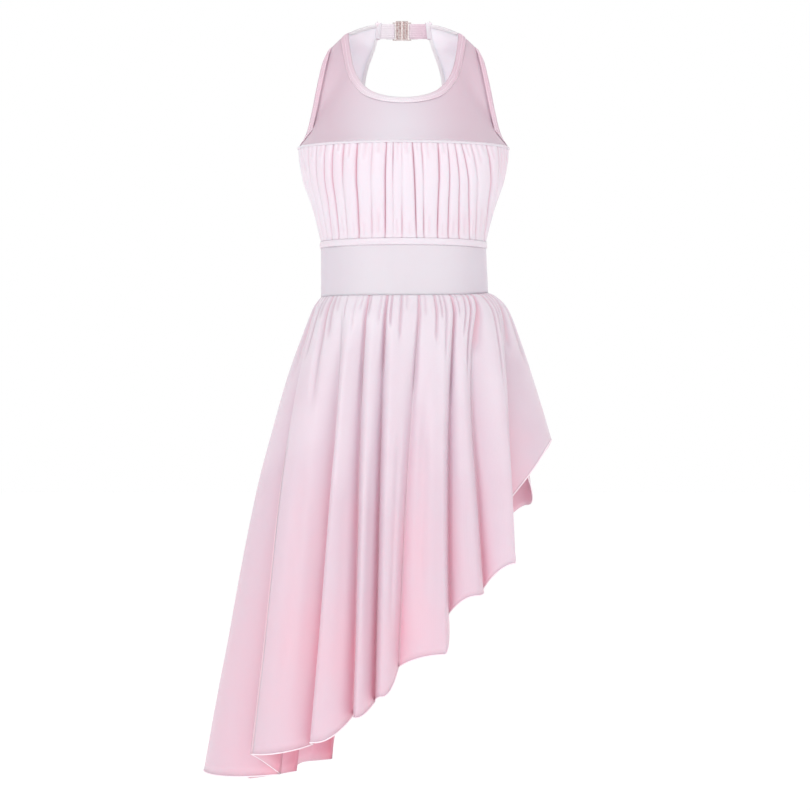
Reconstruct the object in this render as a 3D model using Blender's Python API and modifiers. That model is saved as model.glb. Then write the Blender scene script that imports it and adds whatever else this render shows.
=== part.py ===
# Ballet leotard dress for a girl about 140 cm tall, filled out as it is when worn.
# A halter yoke with a scooped neck, a gathered bust panel, a smooth waistband, a gathered
# skirt whose hem slants from long on one side to short on the other, a back with a keyhole,
# a nape strap of two elastics with a clasp, and the leotard's brief under the skirt.
# +Z is up and the front faces -Y. The origin is the middle of the clasp at the nape.
# Left and right are the wearer's own, so the wearer's left is +X.

import math
from collections import namedtuple

import bmesh
import bpy
from mathutils import Vector

MM = 0.001  # the sizes and tables below are in millimetres

# Cloth and seams
CLOTH = 1.2
BAND_CLOTH = 0.8
ELASTIC = 1.2
SEAM_GAP = 0.4
SHOULDER_GAP = 1.0
BAND_STAND = 0.45
SEAM_ANGLE = 0.15  # degrees that a panel stops short of a side seam

# Heights of the cross seams
BUST_SEAM = -158.0
WAIST_SEAM = -275.0
SKIRT_SEAM = -341.2
CROTCH = -553.0

# The body form that the bodice and the waistband are cut to
TorsoRing = namedtuple("TorsoRing", "height half_width half_depth centre")
TORSO_RINGS = (
    TorsoRing(-158.0, 131.5, 84.0, -72.0),
    TorsoRing(-176.0, 129.6, 88.0, -72.0),
    TorsoRing(-203.0, 124.0, 88.0, -71.5),
    TorsoRing(-229.0, 114.7, 85.0, -71.0),
    TorsoRing(-264.0, 105.0, 79.5, -70.0),
    TorsoRing(-275.0, 103.4, 78.0, -70.0),
    TorsoRing(-560.0, 103.4, 78.0, -70.0),
)
BODY_CENTRE_Y = -70.0

# Hems turned on the edges of the bodice
NECK_BAND = 10.0
EDGE_BAND = 7.5
SEAM_STRIP = 3.0  # the flat strip of cloth beside a cross seam

# Waistband
WAIST_CASING = 8.5
WAIST_CASING_STAND = 0.9
WAIST_COLUMNS = 18

# Gathers of the bust panel: where each valley starts and ends, in degrees round the body
# from the centre front, and how far it dips
Gather = namedtuple("Gather", "top_angle low_angle dip")
BUST_GATHERS = (
    Gather(-90.0, -90.0, 1.5),
    Gather(-76.0, -79.0, 2.5),
    Gather(-61.0, -68.0, 3.0),
    Gather(-45.0, -56.0, 5.0),
    Gather(-39.5, -48.6, 3.0),
    Gather(-32.0, -40.0, 2.0),
    Gather(-24.3, -31.6, 4.0),
    Gather(-16.0, -21.5, 2.0),
    Gather(-8.8, -12.0, 4.0),
    Gather(-1.5, -1.0, 2.0),
    Gather(4.5, 8.0, 3.5),
    Gather(10.5, 15.0, 3.0),
    Gather(17.4, 23.2, 3.5),
    Gather(22.5, 31.0, 4.5),
    Gather(28.0, 39.5, 3.5),
    Gather(34.0, 46.5, 3.0),
    Gather(41.0, 54.0, 3.0),
    Gather(49.0, 64.0, 5.0),
    Gather(62.0, 73.0, 3.0),
    Gather(76.0, 82.0, 2.0),
    Gather(90.0, 90.0, 1.5),
)
BUST_COLUMNS_PER_GATHER = 4
BUST_RIDGE = 1.8
BUST_SEAM_SHARE = 0.35  # how much of a gather is left where it is sewn into a seam
BUST_ROWS = (0.0, 3.0, 22.0, 50.0, 82.0, 113.2, 116.2)  # below the bust seam

# Folds of the skirt. Each row is the valley before a fold, then the fold's own ridge:
# angles round the body at the waist and at the hem, depth, height, the ridge's place
# between this valley and the next, and how far below the waistband the hem is at each
SkirtFold = namedtuple(
    "SkirtFold", "waist_angle hem_angle valley ridge ridge_place valley_drop ridge_drop"
)
FRONT_FOLDS = (
    SkirtFold(-90.0, -101.0, 10.0, 18.0, 0.5, 592.0, 590.0),
    SkirtFold(-78.0, -57.0, 20.0, 20.0, 0.25, 572.0, 556.0),
    SkirtFold(-41.0, -30.0, 16.0, 18.0, 0.375, 536.0, 530.0),
    SkirtFold(-24.0, -19.0, 19.0, 16.0, 0.375, 512.0, 504.0),
    SkirtFold(-11.0, -10.5, 19.0, 16.0, 0.375, 486.0, 477.0),
    SkirtFold(10.0, 0.0, 14.0, 15.0, 0.5, 453.0, 438.0),
    SkirtFold(32.0, 17.0, 18.0, 16.0, 0.5, 386.0, 374.0),
    SkirtFold(54.0, 31.0, 20.0, 22.0, 0.625, 356.0, 330.0),
    SkirtFold(74.0, 54.0, 22.0, 18.0, 0.625, 262.0, 184.0),
    SkirtFold(90.0, 103.0, 14.0, 0.0, 0.5, 205.0, 0.0),
)
BACK_FOLDS = (
    SkirtFold(90.0, 103.0, 14.0, 16.0, 0.5, 205.0, 236.0),
    SkirtFold(110.0, 122.0, 18.0, 16.0, 0.5, 262.0, 290.0),
    SkirtFold(130.0, 140.0, 17.0, 18.0, 0.5, 318.0, 345.0),
    SkirtFold(150.0, 158.0, 19.0, 17.0, 0.375, 372.0, 400.0),
    SkirtFold(170.0, 176.0, 18.0, 18.0, 0.5, 430.0, 462.0),
    SkirtFold(190.0, 192.0, 16.0, 16.0, 0.5, 490.0, 545.0),
    SkirtFold(209.0, 203.0, 18.0, 15.0, 0.5, 602.0, 610.0),
    SkirtFold(228.0, 215.0, 19.0, 20.0, 0.5, 616.0, 622.0),
    SkirtFold(248.0, 238.0, 18.0, 18.0, 0.5, 606.0, 598.0),
    SkirtFold(270.0, 259.0, 10.0, 0.0, 0.5, 592.0, 0.0),
)
SKIRT_COLUMNS_PER_FOLD = 8
SKIRT_ROWS = 9
SKIRT_ROW_BUNCHING = 1.4  # over 1 draws the rows up towards the waist
SKIRT_STAND = 1.8  # the gathered cloth stands off the waistband
SKIRT_TURN_FADE = 70.0  # how soon a fold swings from its waist angle to its hem angle
FOLD_GROWTH = 200.0
GATHERS_PER_FOLD = 2
GATHER_DEPTH = 1.0
GATHER_SWELL = 0.2
GATHER_FADE = 28.0

# How far the skirt stands out at the sides, by the drop below the waistband
Flare = namedtuple("Flare", "drop out")
SKIRT_FLARE = (
    Flare(0.0, 0.0),
    Flare(3.0, 0.0),
    Flare(12.0, 7.0),
    Flare(25.0, 16.0),
    Flare(50.0, 24.0),
    Flare(100.0, 38.0),
    Flare(176.0, 54.0),
    Flare(240.0, 67.0),
    Flare(351.0, 84.0),
    Flare(425.0, 95.0),
    Flare(500.0, 107.0),
    Flare(640.0, 129.0),
)
FLARE_LEFT = 1.2
FLARE_RIGHT = 1.07
FLARE_FRONT = 0.68
FLARE_BACK = 0.85

# Brief
BRIEF_INSET = 2.1
BRIEF_RISE = 3.0  # its top edge is sewn inside the waistband
BRIEF_ROWS = 7
BRIEF_SEAM_ANGLE = 0.4
BRIEF_SEAM_GAP = 1.1
CROTCH_Y = -72.0

# Nape strap and clasp
ELASTIC_HEIGHT = 19.0
CLASP_CENTRE_X = -2.0
CLASP_HALF_LENGTH = 12.0
CLASP_BODY_LENGTH = 8.2
CLASP_BODY_HEIGHT = 25.0
CLASP_BODY_THICKNESS = 4.0
CLASP_FRAME_HEIGHT = 23.4
CLASP_FRAME_THICKNESS = 1.6
CLASP_BAR = 1.4
CLASP_SLOT = 2.1
CLASP_SLOT_HEIGHT = 20.2
CLASP_PARTING = 0.3
CLASP_EDGE = 0.5
CLASP_RISE = 1.0  # the body stands higher than the strap's middle
CLASP_FRAME_LAP = 1.5  # how far the frame runs into the body
STRAP_END_X = 33.0
STRAP_END_GAP = 1.3
STRAP_TAIL = 9.0
STRAP_WRAP_STEPS = 6
STRAP_SAG_PLACE = 0.4
STRAP_SAG = 0.8

# Finishes: name, colour, roughness, metallic
Finish = namedtuple("Finish", "name colour roughness metallic")
SATIN = Finish("pale pink satin knit", "F3E2EC", 0.38, 0.0)
YOKE_SATIN = Finish("pale pink satin knit, stretched", "EAD7E3", 0.42, 0.0)
HEM_SATIN = Finish("pale pink turned hem", "EFDDE7", 0.45, 0.0)
ELASTIC_WEAVE = Finish("pink woven elastic", "EBCFDC", 0.6, 0.0)
PLATED_METAL = Finish("silver plated zinc", "D8D2D2", 0.25, 1.0)


def between(start, end, share):
    return start + (end - start) * share


def soft_step(share):
    return share * share * (3.0 - 2.0 * share)


def mirrored(point):
    return Vector((-point.x, point.y, point.z))


def linear_channel(value):
    if value <= 0.04045:
        return value / 12.92
    return ((value + 0.055) / 1.055) ** 2.4


def finish_material(finish):
    material = bpy.data.materials.get(finish.name)
    if material:
        return material
    material = bpy.data.materials.new(finish.name)
    material.use_nodes = True
    channels = [int(finish.colour[start:start + 2], 16) / 255.0 for start in (0, 2, 4)]
    shader = material.node_tree.nodes["Principled BSDF"]
    shader.inputs["Base Color"].default_value = [linear_channel(c) for c in channels] + [1.0]
    shader.inputs["Roughness"].default_value = finish.roughness
    shader.inputs["Metallic"].default_value = finish.metallic
    return material


def add_object(name, mesh, finish):
    mesh.materials.clear()
    mesh.materials.append(finish_material(finish))
    piece = bpy.data.objects.new(name, mesh)
    GARMENT.objects.link(piece)
    return piece


def cloth_piece(name, columns, finish, thickness=CLOTH):
    """A sheet through columns of points, shaped from a grid and thickened inwards."""
    last_column = len(columns) - 1
    last_row = len(columns[0]) - 1
    sheet = bmesh.new()
    bmesh.ops.create_grid(sheet, x_segments=last_column, y_segments=last_row, size=1.0)
    for corner in sheet.verts:
        column = round((corner.co.x + 1.0) / 2.0 * last_column)
        row = round((corner.co.y + 1.0) / 2.0 * last_row)
        corner.co = columns[column][row] * MM
    sheet.normal_update()
    facing = 0.0
    for face in sheet.faces:
        middle = face.calc_center_median()
        away = Vector((middle.x, middle.y - BODY_CENTRE_Y * MM, 0.0))
        facing += face.normal.dot(away) * face.calc_area()
    if facing < 0.0:
        bmesh.ops.reverse_faces(sheet, faces=sheet.faces)
    mesh = bpy.data.meshes.new(name)
    sheet.to_mesh(mesh)
    sheet.free()
    mesh.shade_smooth()
    piece = add_object(name, mesh, finish)
    wall = piece.modifiers.new("cloth thickness", "SOLIDIFY")
    wall.thickness = thickness * MM
    wall.offset = -1.0
    return piece


def torso_point(angle, height, out=0.0):
    """A point of the body form; angle 0 is the centre front and 90 the left side."""
    for upper, lower in zip(TORSO_RINGS, TORSO_RINGS[1:]):
        if height >= lower.height:
            break
    share = (upper.height - height) / (upper.height - lower.height)
    share = max(share, 0.0)
    half_width = between(upper.half_width, lower.half_width, share) + out
    half_depth = between(upper.half_depth, lower.half_depth, share) + out
    centre = between(upper.centre, lower.centre, share)
    turn = math.radians(angle)
    return Vector((half_width * math.sin(turn), centre - half_depth * math.cos(turn), height))


# A station is one line across a panel, from its inner edge to its outer edge, with how far
# the cloth bulges off the straight line halfway. The outer edge has a corner where cornered.
Station = namedtuple("Station", "inner outer bulge cornered")


def station(inner, outer, bulge=(0.0, 0.0, 0.0), cornered=False):
    return Station(Vector(inner), Vector(outer), Vector(bulge), cornered)


def mirrored_station(source):
    return Station(
        mirrored(source.inner), mirrored(source.outer), mirrored(source.bulge), source.cornered
    )


def both_sides(half):
    """The stations of a whole panel from those of its left half, centre first."""
    return [mirrored_station(source) for source in reversed(half[1:])] + list(half)


def smooth_curve(before, start, end, after, share):
    """A Catmull-Rom stretch from start to end."""
    leave = (end - before) / 2.0
    arrive = (after - start) / 2.0
    square = share * share
    cube = square * share
    return (
        start * (2.0 * cube - 3.0 * square + 1.0)
        + leave * (cube - 2.0 * square + share)
        + end * (3.0 * square - 2.0 * cube)
        + arrive * (cube - square)
    )


def stretch_value(stations, first, share, name):
    """One of a station's points, read between station first and the next."""
    start = getattr(stations[first], name)
    end = getattr(stations[first + 1], name)
    before = start * 2.0 - end
    after = end * 2.0 - start
    splits = name == "outer"
    if first > 0 and not (splits and stations[first].cornered):
        before = getattr(stations[first - 1], name)
    if first + 2 < len(stations) and not (splits and stations[first + 1].cornered):
        after = getattr(stations[first + 2], name)
    return smooth_curve(before, start, end, after, share)


def columns_from(stations, per_gap, profile, rows, inner_edge=0.0, outer_edge=0.0):
    """Columns of points across a panel, per_gap of them from each station to the next."""
    columns = []
    for first in range(len(stations) - 1):
        last = first == len(stations) - 2
        for step in range(per_gap + (1 if last else 0)):
            share = step / per_gap
            inner = stretch_value(stations, first, share, "inner")
            outer = stretch_value(stations, first, share, "outer")
            bulge = stretch_value(stations, first, share, "bulge")
            length = (outer - inner).length
            edges = row_shares(rows, inner_edge / length, outer_edge / length)
            columns.append([profile(inner, outer, bulge, edge) for edge in edges])
    return columns


def row_shares(rows, inner_share, outer_share):
    """Places of the rows, with one strip kept for each edge band that the panel has."""
    start = [0.0] if inner_share else []
    end = [1.0] if outer_share else []
    low = inner_share
    high = 1.0 - outer_share
    middle = [between(low, high, step / rows) for step in range(rows + 1)]
    return start + middle + end


def chest_profile(inner, outer, bulge, share):
    """Eased so that the cloth turns straight down where it meets the bust seam."""
    point = inner.lerp(outer, share)
    quarter = share * math.pi / 2.0
    forward = outer.y < inner.y
    ease = math.sin(quarter) if forward else 1.0 - math.cos(quarter)
    point.y = between(inner.y, outer.y, ease)
    return point + bulge * (4.0 * share * (1.0 - share))


def back_profile(inner, outer, bulge, share):
    return inner.lerp(outer, share) + bulge * (4.0 * share * (1.0 - share))


def under_profile(inner, outer, bulge, share):
    """Straight down at the waist, then turned under to lie level at the crotch."""
    quarter = share * math.pi / 2.0
    point = inner.lerp(outer, math.sin(quarter))
    point.y = between(inner.y, outer.y, 1.0 - math.cos(quarter))
    return point + bulge * math.sin(share * math.pi)


def outward_normals(columns):
    """The direction out of the cloth at each point of a panel."""
    last_column = len(columns) - 1
    last_row = len(columns[0]) - 1
    normals = []
    for place, column in enumerate(columns):
        ahead = columns[min(place + 1, last_column)]
        behind = columns[max(place - 1, 0)]
        line = []
        for row, point in enumerate(column):
            along = ahead[row] - behind[row]
            across = column[min(row + 1, last_row)] - column[max(row - 1, 0)]
            normal = along.cross(across).normalized()
            away = Vector((point.x, point.y - BODY_CENTRE_Y, 0.0))
            line.append(normal if normal.dot(away) > 0.0 else -normal)
        normals.append(line)
    return normals


def band_on(name, columns, first, last, rows, finish=HEM_SATIN):
    """A turned hem laid on a panel: its own columns and rows, moved out."""
    covered = columns[first:last + 1]
    out = BAND_STAND + BAND_CLOTH
    band = []
    for column, normals in zip(covered, outward_normals(covered)):
        band.append([column[row] + normals[row] * out for row in rows])
    return cloth_piece(name, band, finish, BAND_CLOTH)


# Yoke: the neckline is the inner edge; the bust seam and the armholes are the outer edge
YOKE_COLUMNS_PER_GAP = 2
YOKE_ROWS = 4
UNDERARM_STATION = 5
UNDERARM_RISE = 0.9  # clears the bust's top edge, since the yoke leans in at the underarm
UNDERARM_SEAM_ANGLE = 0.7
SHOULDER_FRONT_Y = -62.0 - SHOULDER_GAP / 2.0
SHOULDER_BACK_Y = -62.0 + SHOULDER_GAP / 2.0
YOKE_LOW = BUST_SEAM + SEAM_GAP / 2.0


def yoke_stations():
    underarm = torso_point(90.0 - UNDERARM_SEAM_ANGLE, YOKE_LOW + UNDERARM_RISE)
    half = [
        station((0.0, -125.0, -101.0), torso_point(0.0, YOKE_LOW)),
        station((20.0, -123.5, -99.0), torso_point(15.0, YOKE_LOW)),
        station((37.0, -119.0, -93.5), torso_point(30.0, YOKE_LOW)),
        station((48.0, -113.0, -85.0), torso_point(47.0, YOKE_LOW), (0.0, -1.0, -2.0)),
        station((57.0, -105.0, -72.0), torso_point(64.0, YOKE_LOW + 0.5), (2.0, -4.0, -6.0)),
        station((61.0, -99.0, -62.0), underarm, (9.0, -10.0, -16.0), True),
        station((63.5, -94.0, -54.0), (121.0, -86.0, -141.0), (4.0, -7.0, -16.0)),
        station((65.0, -88.0, -45.0), (114.0, -91.0, -115.0), (4.0, -6.0, -12.0)),
        station((66.5, -81.0, -35.0), (109.5, -91.0, -92.0), (2.0, -4.0, -8.0)),
        station((67.5, -75.0, -27.0), (105.5, -87.0, -72.0), (1.0, -3.0, -5.0)),
        station((68.5, -69.0, -19.0), (101.0, -77.0, -51.0), (0.5, -1.0, -1.0)),
        station((69.0, SHOULDER_FRONT_Y, -12.0), (96.0, SHOULDER_FRONT_Y, -37.0), (0.0, 0.0, 2.0)),
    ]
    return both_sides(half)


# Back: the keyhole is the inner edge; the waist, sides, armholes, shoulders and neck are
# the outer edge, which ends at the strap
BACK_COLUMNS_PER_GAP = 2
BACK_ROWS = 4
BACK_SIDE_STATION = 6
BACK_SHOULDER_STATION = 12
BACK_NECK_STATION = 13
BACK_LOW = WAIST_SEAM + SEAM_GAP / 2.0


def back_stations():
    side = 90.0 + SEAM_ANGLE
    half = [
        station((0.0, 9.5, -235.0), torso_point(180.0, BACK_LOW)),
        station((18.0, 9.0, -231.0), torso_point(157.0, BACK_LOW), (1.0, 1.5, 0.0)),
        station((32.0, 6.5, -220.0), torso_point(134.0, BACK_LOW), (6.0, 8.0, 0.0)),
        station((41.0, 4.5, -206.0), torso_point(side, BACK_LOW), (17.0, 15.0, 0.0), True),
        station((46.0, 3.5, -190.0), torso_point(side, -229.0), (17.0, 16.0, 0.0)),
        station((49.0, 3.5, -170.0), torso_point(side, -198.0), (16.0, 17.0, 0.0)),
        station((51.0, 3.5, -148.0), torso_point(side, YOKE_LOW), (14.0, 17.0, 0.0), True),
        station((52.0, 3.0, -126.0), (120.0, -54.0, -141.0), (11.0, 14.0, 0.0)),
        station((52.0, 2.5, -106.0), (112.0, -39.0, -114.0), (7.0, 10.0, 0.0)),
        station((51.0, 2.0, -86.0), (107.0, -34.0, -89.0), (6.0, 9.0, 2.0)),
        station((48.5, 1.5, -62.0), (104.0, -37.0, -68.0), (6.0, 9.0, 3.0)),
        station((45.0, 1.0, -46.0), (100.0, -46.0, -50.0), (7.0, 9.0, 4.0)),
        station((41.0, 0.8, -34.0), (96.0, SHOULDER_BACK_Y, -37.0), (8.0, 8.0, 5.0), True),
        station((37.5, 0.6, -23.0), (69.0, SHOULDER_BACK_Y, -12.0), (6.0, 5.0, 0.0), True),
        station((35.5, 0.6, -17.0), (57.0, -36.0, -2.5), (3.0, 4.0, 0.0)),
        station((34.0, 0.6, -12.5), (44.0, -12.0, 5.5), (1.0, 1.0, 0.0)),
        station((33.2, 0.6, -10.0), (33.6, 0.6, 9.5)),
    ]
    return both_sides(half)


def build_bodice():
    yoke = columns_from(
        yoke_stations(), YOKE_COLUMNS_PER_GAP, chest_profile, YOKE_ROWS, NECK_BAND, EDGE_BAND
    )
    back = columns_from(
        back_stations(), BACK_COLUMNS_PER_GAP, back_profile, BACK_ROWS, EDGE_BAND, EDGE_BAND
    )
    cloth_piece("yoke_front", yoke, YOKE_SATIN)
    cloth_piece("back_panel", back, YOKE_SATIN)
    neck_rows = (0, 1)
    outer_rows = (-2, -1)
    yoke_end = len(yoke) - 1
    back_end = len(back) - 1
    band_on("neck_band_front", yoke, 0, yoke_end, neck_rows)
    band_on("keyhole_band", back, 0, back_end, neck_rows)
    yoke_centre = yoke_end // 2
    back_centre = back_end // 2
    underarm = yoke_centre + UNDERARM_STATION * YOKE_COLUMNS_PER_GAP
    side = back_centre + BACK_SIDE_STATION * BACK_COLUMNS_PER_GAP
    shoulder = back_centre + BACK_SHOULDER_STATION * BACK_COLUMNS_PER_GAP
    neck = back_centre + BACK_NECK_STATION * BACK_COLUMNS_PER_GAP
    spans = (
        ("armhole_band_front", yoke, yoke_end, underarm, yoke_end),
        ("armhole_band_back", back, back_end, side, shoulder),
        ("neck_band_back", back, back_end, neck, back_end),
    )
    for name, columns, end, first, last in spans:
        band_on(name + "_left", columns, first, last, outer_rows)
        band_on(name + "_right", columns, end - last, end - first, outer_rows)


def wave_height(share, ridge_place, valley, ridge, next_valley):
    """Height of a fold, from one valley over its ridge down to the next valley."""
    if share < ridge_place:
        return between(-valley, ridge, soft_step(share / ridge_place))
    return between(ridge, -next_valley, soft_step((share - ridge_place) / (1.0 - ridge_place)))


def build_bust():
    columns = []
    panel_height = BUST_ROWS[-1]
    last_angle = 90.0 - SEAM_ANGLE
    for gather, following in zip(BUST_GATHERS, BUST_GATHERS[1:]):
        closing = following is BUST_GATHERS[-1]
        for step in range(BUST_COLUMNS_PER_GATHER + (1 if closing else 0)):
            share = step / BUST_COLUMNS_PER_GATHER
            wave = wave_height(share, 0.5, gather.dip, BUST_RIDGE, following.dip)
            column = []
            for down in BUST_ROWS:
                fall = down / panel_height
                top = between(gather.top_angle, following.top_angle, share)
                low = between(gather.low_angle, following.low_angle, share)
                angle = between(top, low, fall)
                angle = max(-last_angle, min(last_angle, angle))
                inside = min(max(down - SEAM_STRIP, 0.0), panel_height - 2.0 * SEAM_STRIP)
                swell = math.sin(math.pi * inside / (panel_height - 2.0 * SEAM_STRIP))
                strength = between(BUST_SEAM_SHARE, 1.0, swell)
                height = BUST_SEAM - SEAM_GAP - down
                column.append(torso_point(angle, height, wave * strength))
            columns.append(column)
    cloth_piece("bust_front", columns, SATIN)


def build_waistband():
    casing_low = WAIST_SEAM - SEAM_GAP - WAIST_CASING
    rows = (
        (WAIST_SEAM - SEAM_GAP, WAIST_CASING_STAND),
        (casing_low, WAIST_CASING_STAND),
        (casing_low - WAIST_CASING_STAND, 0.0),
        (SKIRT_SEAM, 0.0),
    )
    for name, middle_angle in (("waistband_front", 0.0), ("waistband_back", 180.0)):
        columns = []
        half_turn = 90.0 - SEAM_ANGLE
        for step in range(WAIST_COLUMNS + 1):
            angle = middle_angle + between(-half_turn, half_turn, step / WAIST_COLUMNS)
            columns.append([torso_point(angle, height, out) for height, out in rows])
        cloth_piece(name, columns, YOKE_SATIN)


def flare_at(drop):
    for upper, lower in zip(SKIRT_FLARE, SKIRT_FLARE[1:]):
        if drop <= lower.drop:
            break
    return between(upper.out, lower.out, (drop - upper.drop) / (lower.drop - upper.drop))


def skirt_point(waist_angle, hem_angle, fold, gather, drop):
    """A point of the skirt, drop below the waistband."""
    waist = TORSO_RINGS[-1]
    turn = math.radians(between(hem_angle, waist_angle, math.exp(-drop / SKIRT_TURN_FADE)))
    side = math.sin(turn)
    front = math.cos(turn)
    flare = flare_at(drop)
    sideways = flare * between(FLARE_RIGHT, FLARE_LEFT, (1.0 + side) / 2.0)
    forwards = flare * between(FLARE_BACK, FLARE_FRONT, (1.0 + front) / 2.0)
    fold_out = fold * (1.0 - math.exp(-drop / FOLD_GROWTH))
    gather_depth = GATHER_DEPTH + GATHER_SWELL * max(drop - SEAM_STRIP, 0.0)
    gather_out = gather * gather_depth * math.exp(-drop / GATHER_FADE)
    out = SKIRT_STAND + fold_out + gather_out
    return Vector((
        (waist.half_width + sideways + out) * side,
        waist.centre - (waist.half_depth + forwards + out) * front,
        SKIRT_SEAM - SEAM_GAP - drop,
    ))


def skirt_columns(folds):
    columns = []
    for fold, following in zip(folds, folds[1:]):
        closing = following is folds[-1]
        for step in range(SKIRT_COLUMNS_PER_FOLD + (1 if closing else 0)):
            share = step / SKIRT_COLUMNS_PER_FOLD
            shape = (share, fold.ridge_place)
            height = wave_height(*shape, fold.valley, fold.ridge, following.valley)
            hem = wave_height(*shape, -fold.valley_drop, fold.ridge_drop, -following.valley_drop)
            gather = -math.cos(2.0 * math.pi * GATHERS_PER_FOLD * share)
            waist_angle = between(fold.waist_angle, following.waist_angle, share)
            hem_angle = between(fold.hem_angle, following.hem_angle, share)
            if fold is folds[0] and step == 0:
                waist_angle += SEAM_ANGLE
                hem_angle += SEAM_ANGLE
            if closing and step == SKIRT_COLUMNS_PER_FOLD:
                waist_angle -= SEAM_ANGLE
                hem_angle -= SEAM_ANGLE
            drops = [0.0, SEAM_STRIP]
            for row in range(1, SKIRT_ROWS + 1):
                drops.append(hem * (row / SKIRT_ROWS) ** SKIRT_ROW_BUNCHING)
            columns.append(
                [skirt_point(waist_angle, hem_angle, height, gather, drop) for drop in drops]
            )
    return columns


def build_skirt():
    cloth_piece("skirt_front", skirt_columns(FRONT_FOLDS), SATIN)
    cloth_piece("skirt_back", skirt_columns(BACK_FOLDS), SATIN)


def brief_top(angle):
    return torso_point(angle, SKIRT_SEAM + BRIEF_RISE, -BRIEF_INSET)


def build_brief():
    front_y = CROTCH_Y - BRIEF_SEAM_GAP / 2.0
    back_y = CROTCH_Y + BRIEF_SEAM_GAP / 2.0
    front_side_y = BODY_CENTRE_Y - BRIEF_SEAM_GAP / 2.0
    back_side_y = BODY_CENTRE_Y + BRIEF_SEAM_GAP / 2.0
    front_side = 90.0 - BRIEF_SEAM_ANGLE
    back_side = 90.0 + BRIEF_SEAM_ANGLE
    front = [
        station(brief_top(0.0), (0.0, front_y, CROTCH), (0.0, -6.0, 0.0)),
        station(brief_top(11.0), (14.0, front_y, CROTCH), (0.0, -6.0, 0.0)),
        station(brief_top(22.0), (27.0, front_y, CROTCH + 0.5), (0.0, -6.0, 0.0)),
        station(brief_top(34.0), (42.0, -91.0, CROTCH + 6.0), (0.0, -5.0, 0.0)),
        station(brief_top(47.0), (65.0, -110.0, CROTCH + 22.0), (1.0, -4.0, 0.0)),
        station(brief_top(60.0), (90.0, -112.0, CROTCH + 43.0), (2.0, -3.0, 0.0)),
        station(brief_top(75.0), (108.0, -94.0, CROTCH + 65.0), (3.0, -1.0, 0.0)),
        station(brief_top(front_side), (115.0, front_side_y, CROTCH + 82.0), (4.0, 0.0, 0.0)),
    ]
    back = [
        station(brief_top(180.0), (0.0, back_y, CROTCH), (0.0, 17.0, 0.0)),
        station(brief_top(169.0), (14.0, back_y, CROTCH), (0.0, 17.0, 0.0)),
        station(brief_top(158.0), (27.0, back_y, CROTCH + 0.5), (0.0, 17.0, 0.0)),
        station(brief_top(146.0), (46.0, -50.0, CROTCH + 1.0), (0.0, 15.0, 0.0)),
        station(brief_top(133.0), (70.0, -26.0, CROTCH + 8.0), (1.0, 11.0, 0.0)),
        station(brief_top(120.0), (92.0, -18.0, CROTCH + 28.0), (2.0, 7.0, 0.0)),
        station(brief_top(105.0), (109.0, -38.0, CROTCH + 56.0), (4.0, 3.0, 0.0)),
        station(brief_top(back_side), (115.0, back_side_y, CROTCH + 82.0), (4.0, 0.0, 0.0)),
    ]
    for name, half in (("brief_front", front), ("brief_back", back)):
        cloth_piece(name, columns_from(both_sides(half), 1, under_profile, BRIEF_ROWS), SATIN)


def build_elastic(name, side, clasp_end_x):
    """A flat elastic from the back's strap end, round the clasp's bar and back on itself."""
    bar_x = abs(clasp_end_x) - CLASP_BAR / 2.0
    wrap = CLASP_FRAME_THICKNESS / 2.0 + SEAM_GAP + ELASTIC / 2.0
    sag_x = between(STRAP_END_X, bar_x, STRAP_SAG_PLACE)
    path = [(STRAP_END_X - STRAP_END_GAP, 0.0), (sag_x, -wrap * STRAP_SAG)]
    for step in range(STRAP_WRAP_STEPS + 1):
        turn = math.pi * step / STRAP_WRAP_STEPS
        path.append((bar_x - wrap * math.sin(turn), -wrap * math.cos(turn)))
    path.append((bar_x + STRAP_TAIL, wrap))
    half_height = ELASTIC_HEIGHT / 2.0
    columns = []
    for x, y in path:
        columns.append([Vector((side * x, y, half_height)), Vector((side * x, y, -half_height))])
    piece = cloth_piece(name, columns, ELASTIC_WEAVE, ELASTIC)
    piece.modifiers["cloth thickness"].offset = 0.0


def block(name, size, centre, edge, hidden=False):
    """A box with rounded edges, or a cutter when hidden."""
    mesh = bpy.data.meshes.new(name)
    cube = bmesh.new()
    bmesh.ops.create_cube(cube, size=1.0)
    bmesh.ops.scale(cube, vec=Vector(size) * MM, verts=cube.verts)
    if edge:
        bmesh.ops.bevel(
            cube, geom=cube.edges, offset=edge * MM, segments=2, affect="EDGES", profile=0.5,
            material=-1,
        )
    cube.to_mesh(mesh)
    cube.free()
    piece = add_object(name, mesh, PLATED_METAL)
    piece.location = Vector(centre) * MM
    if hidden:
        GARMENT.objects.unlink(piece)
        CUTTERS.objects.link(piece)
        piece.hide_render = True
        piece.display_type = "WIRE"
    return piece


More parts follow.
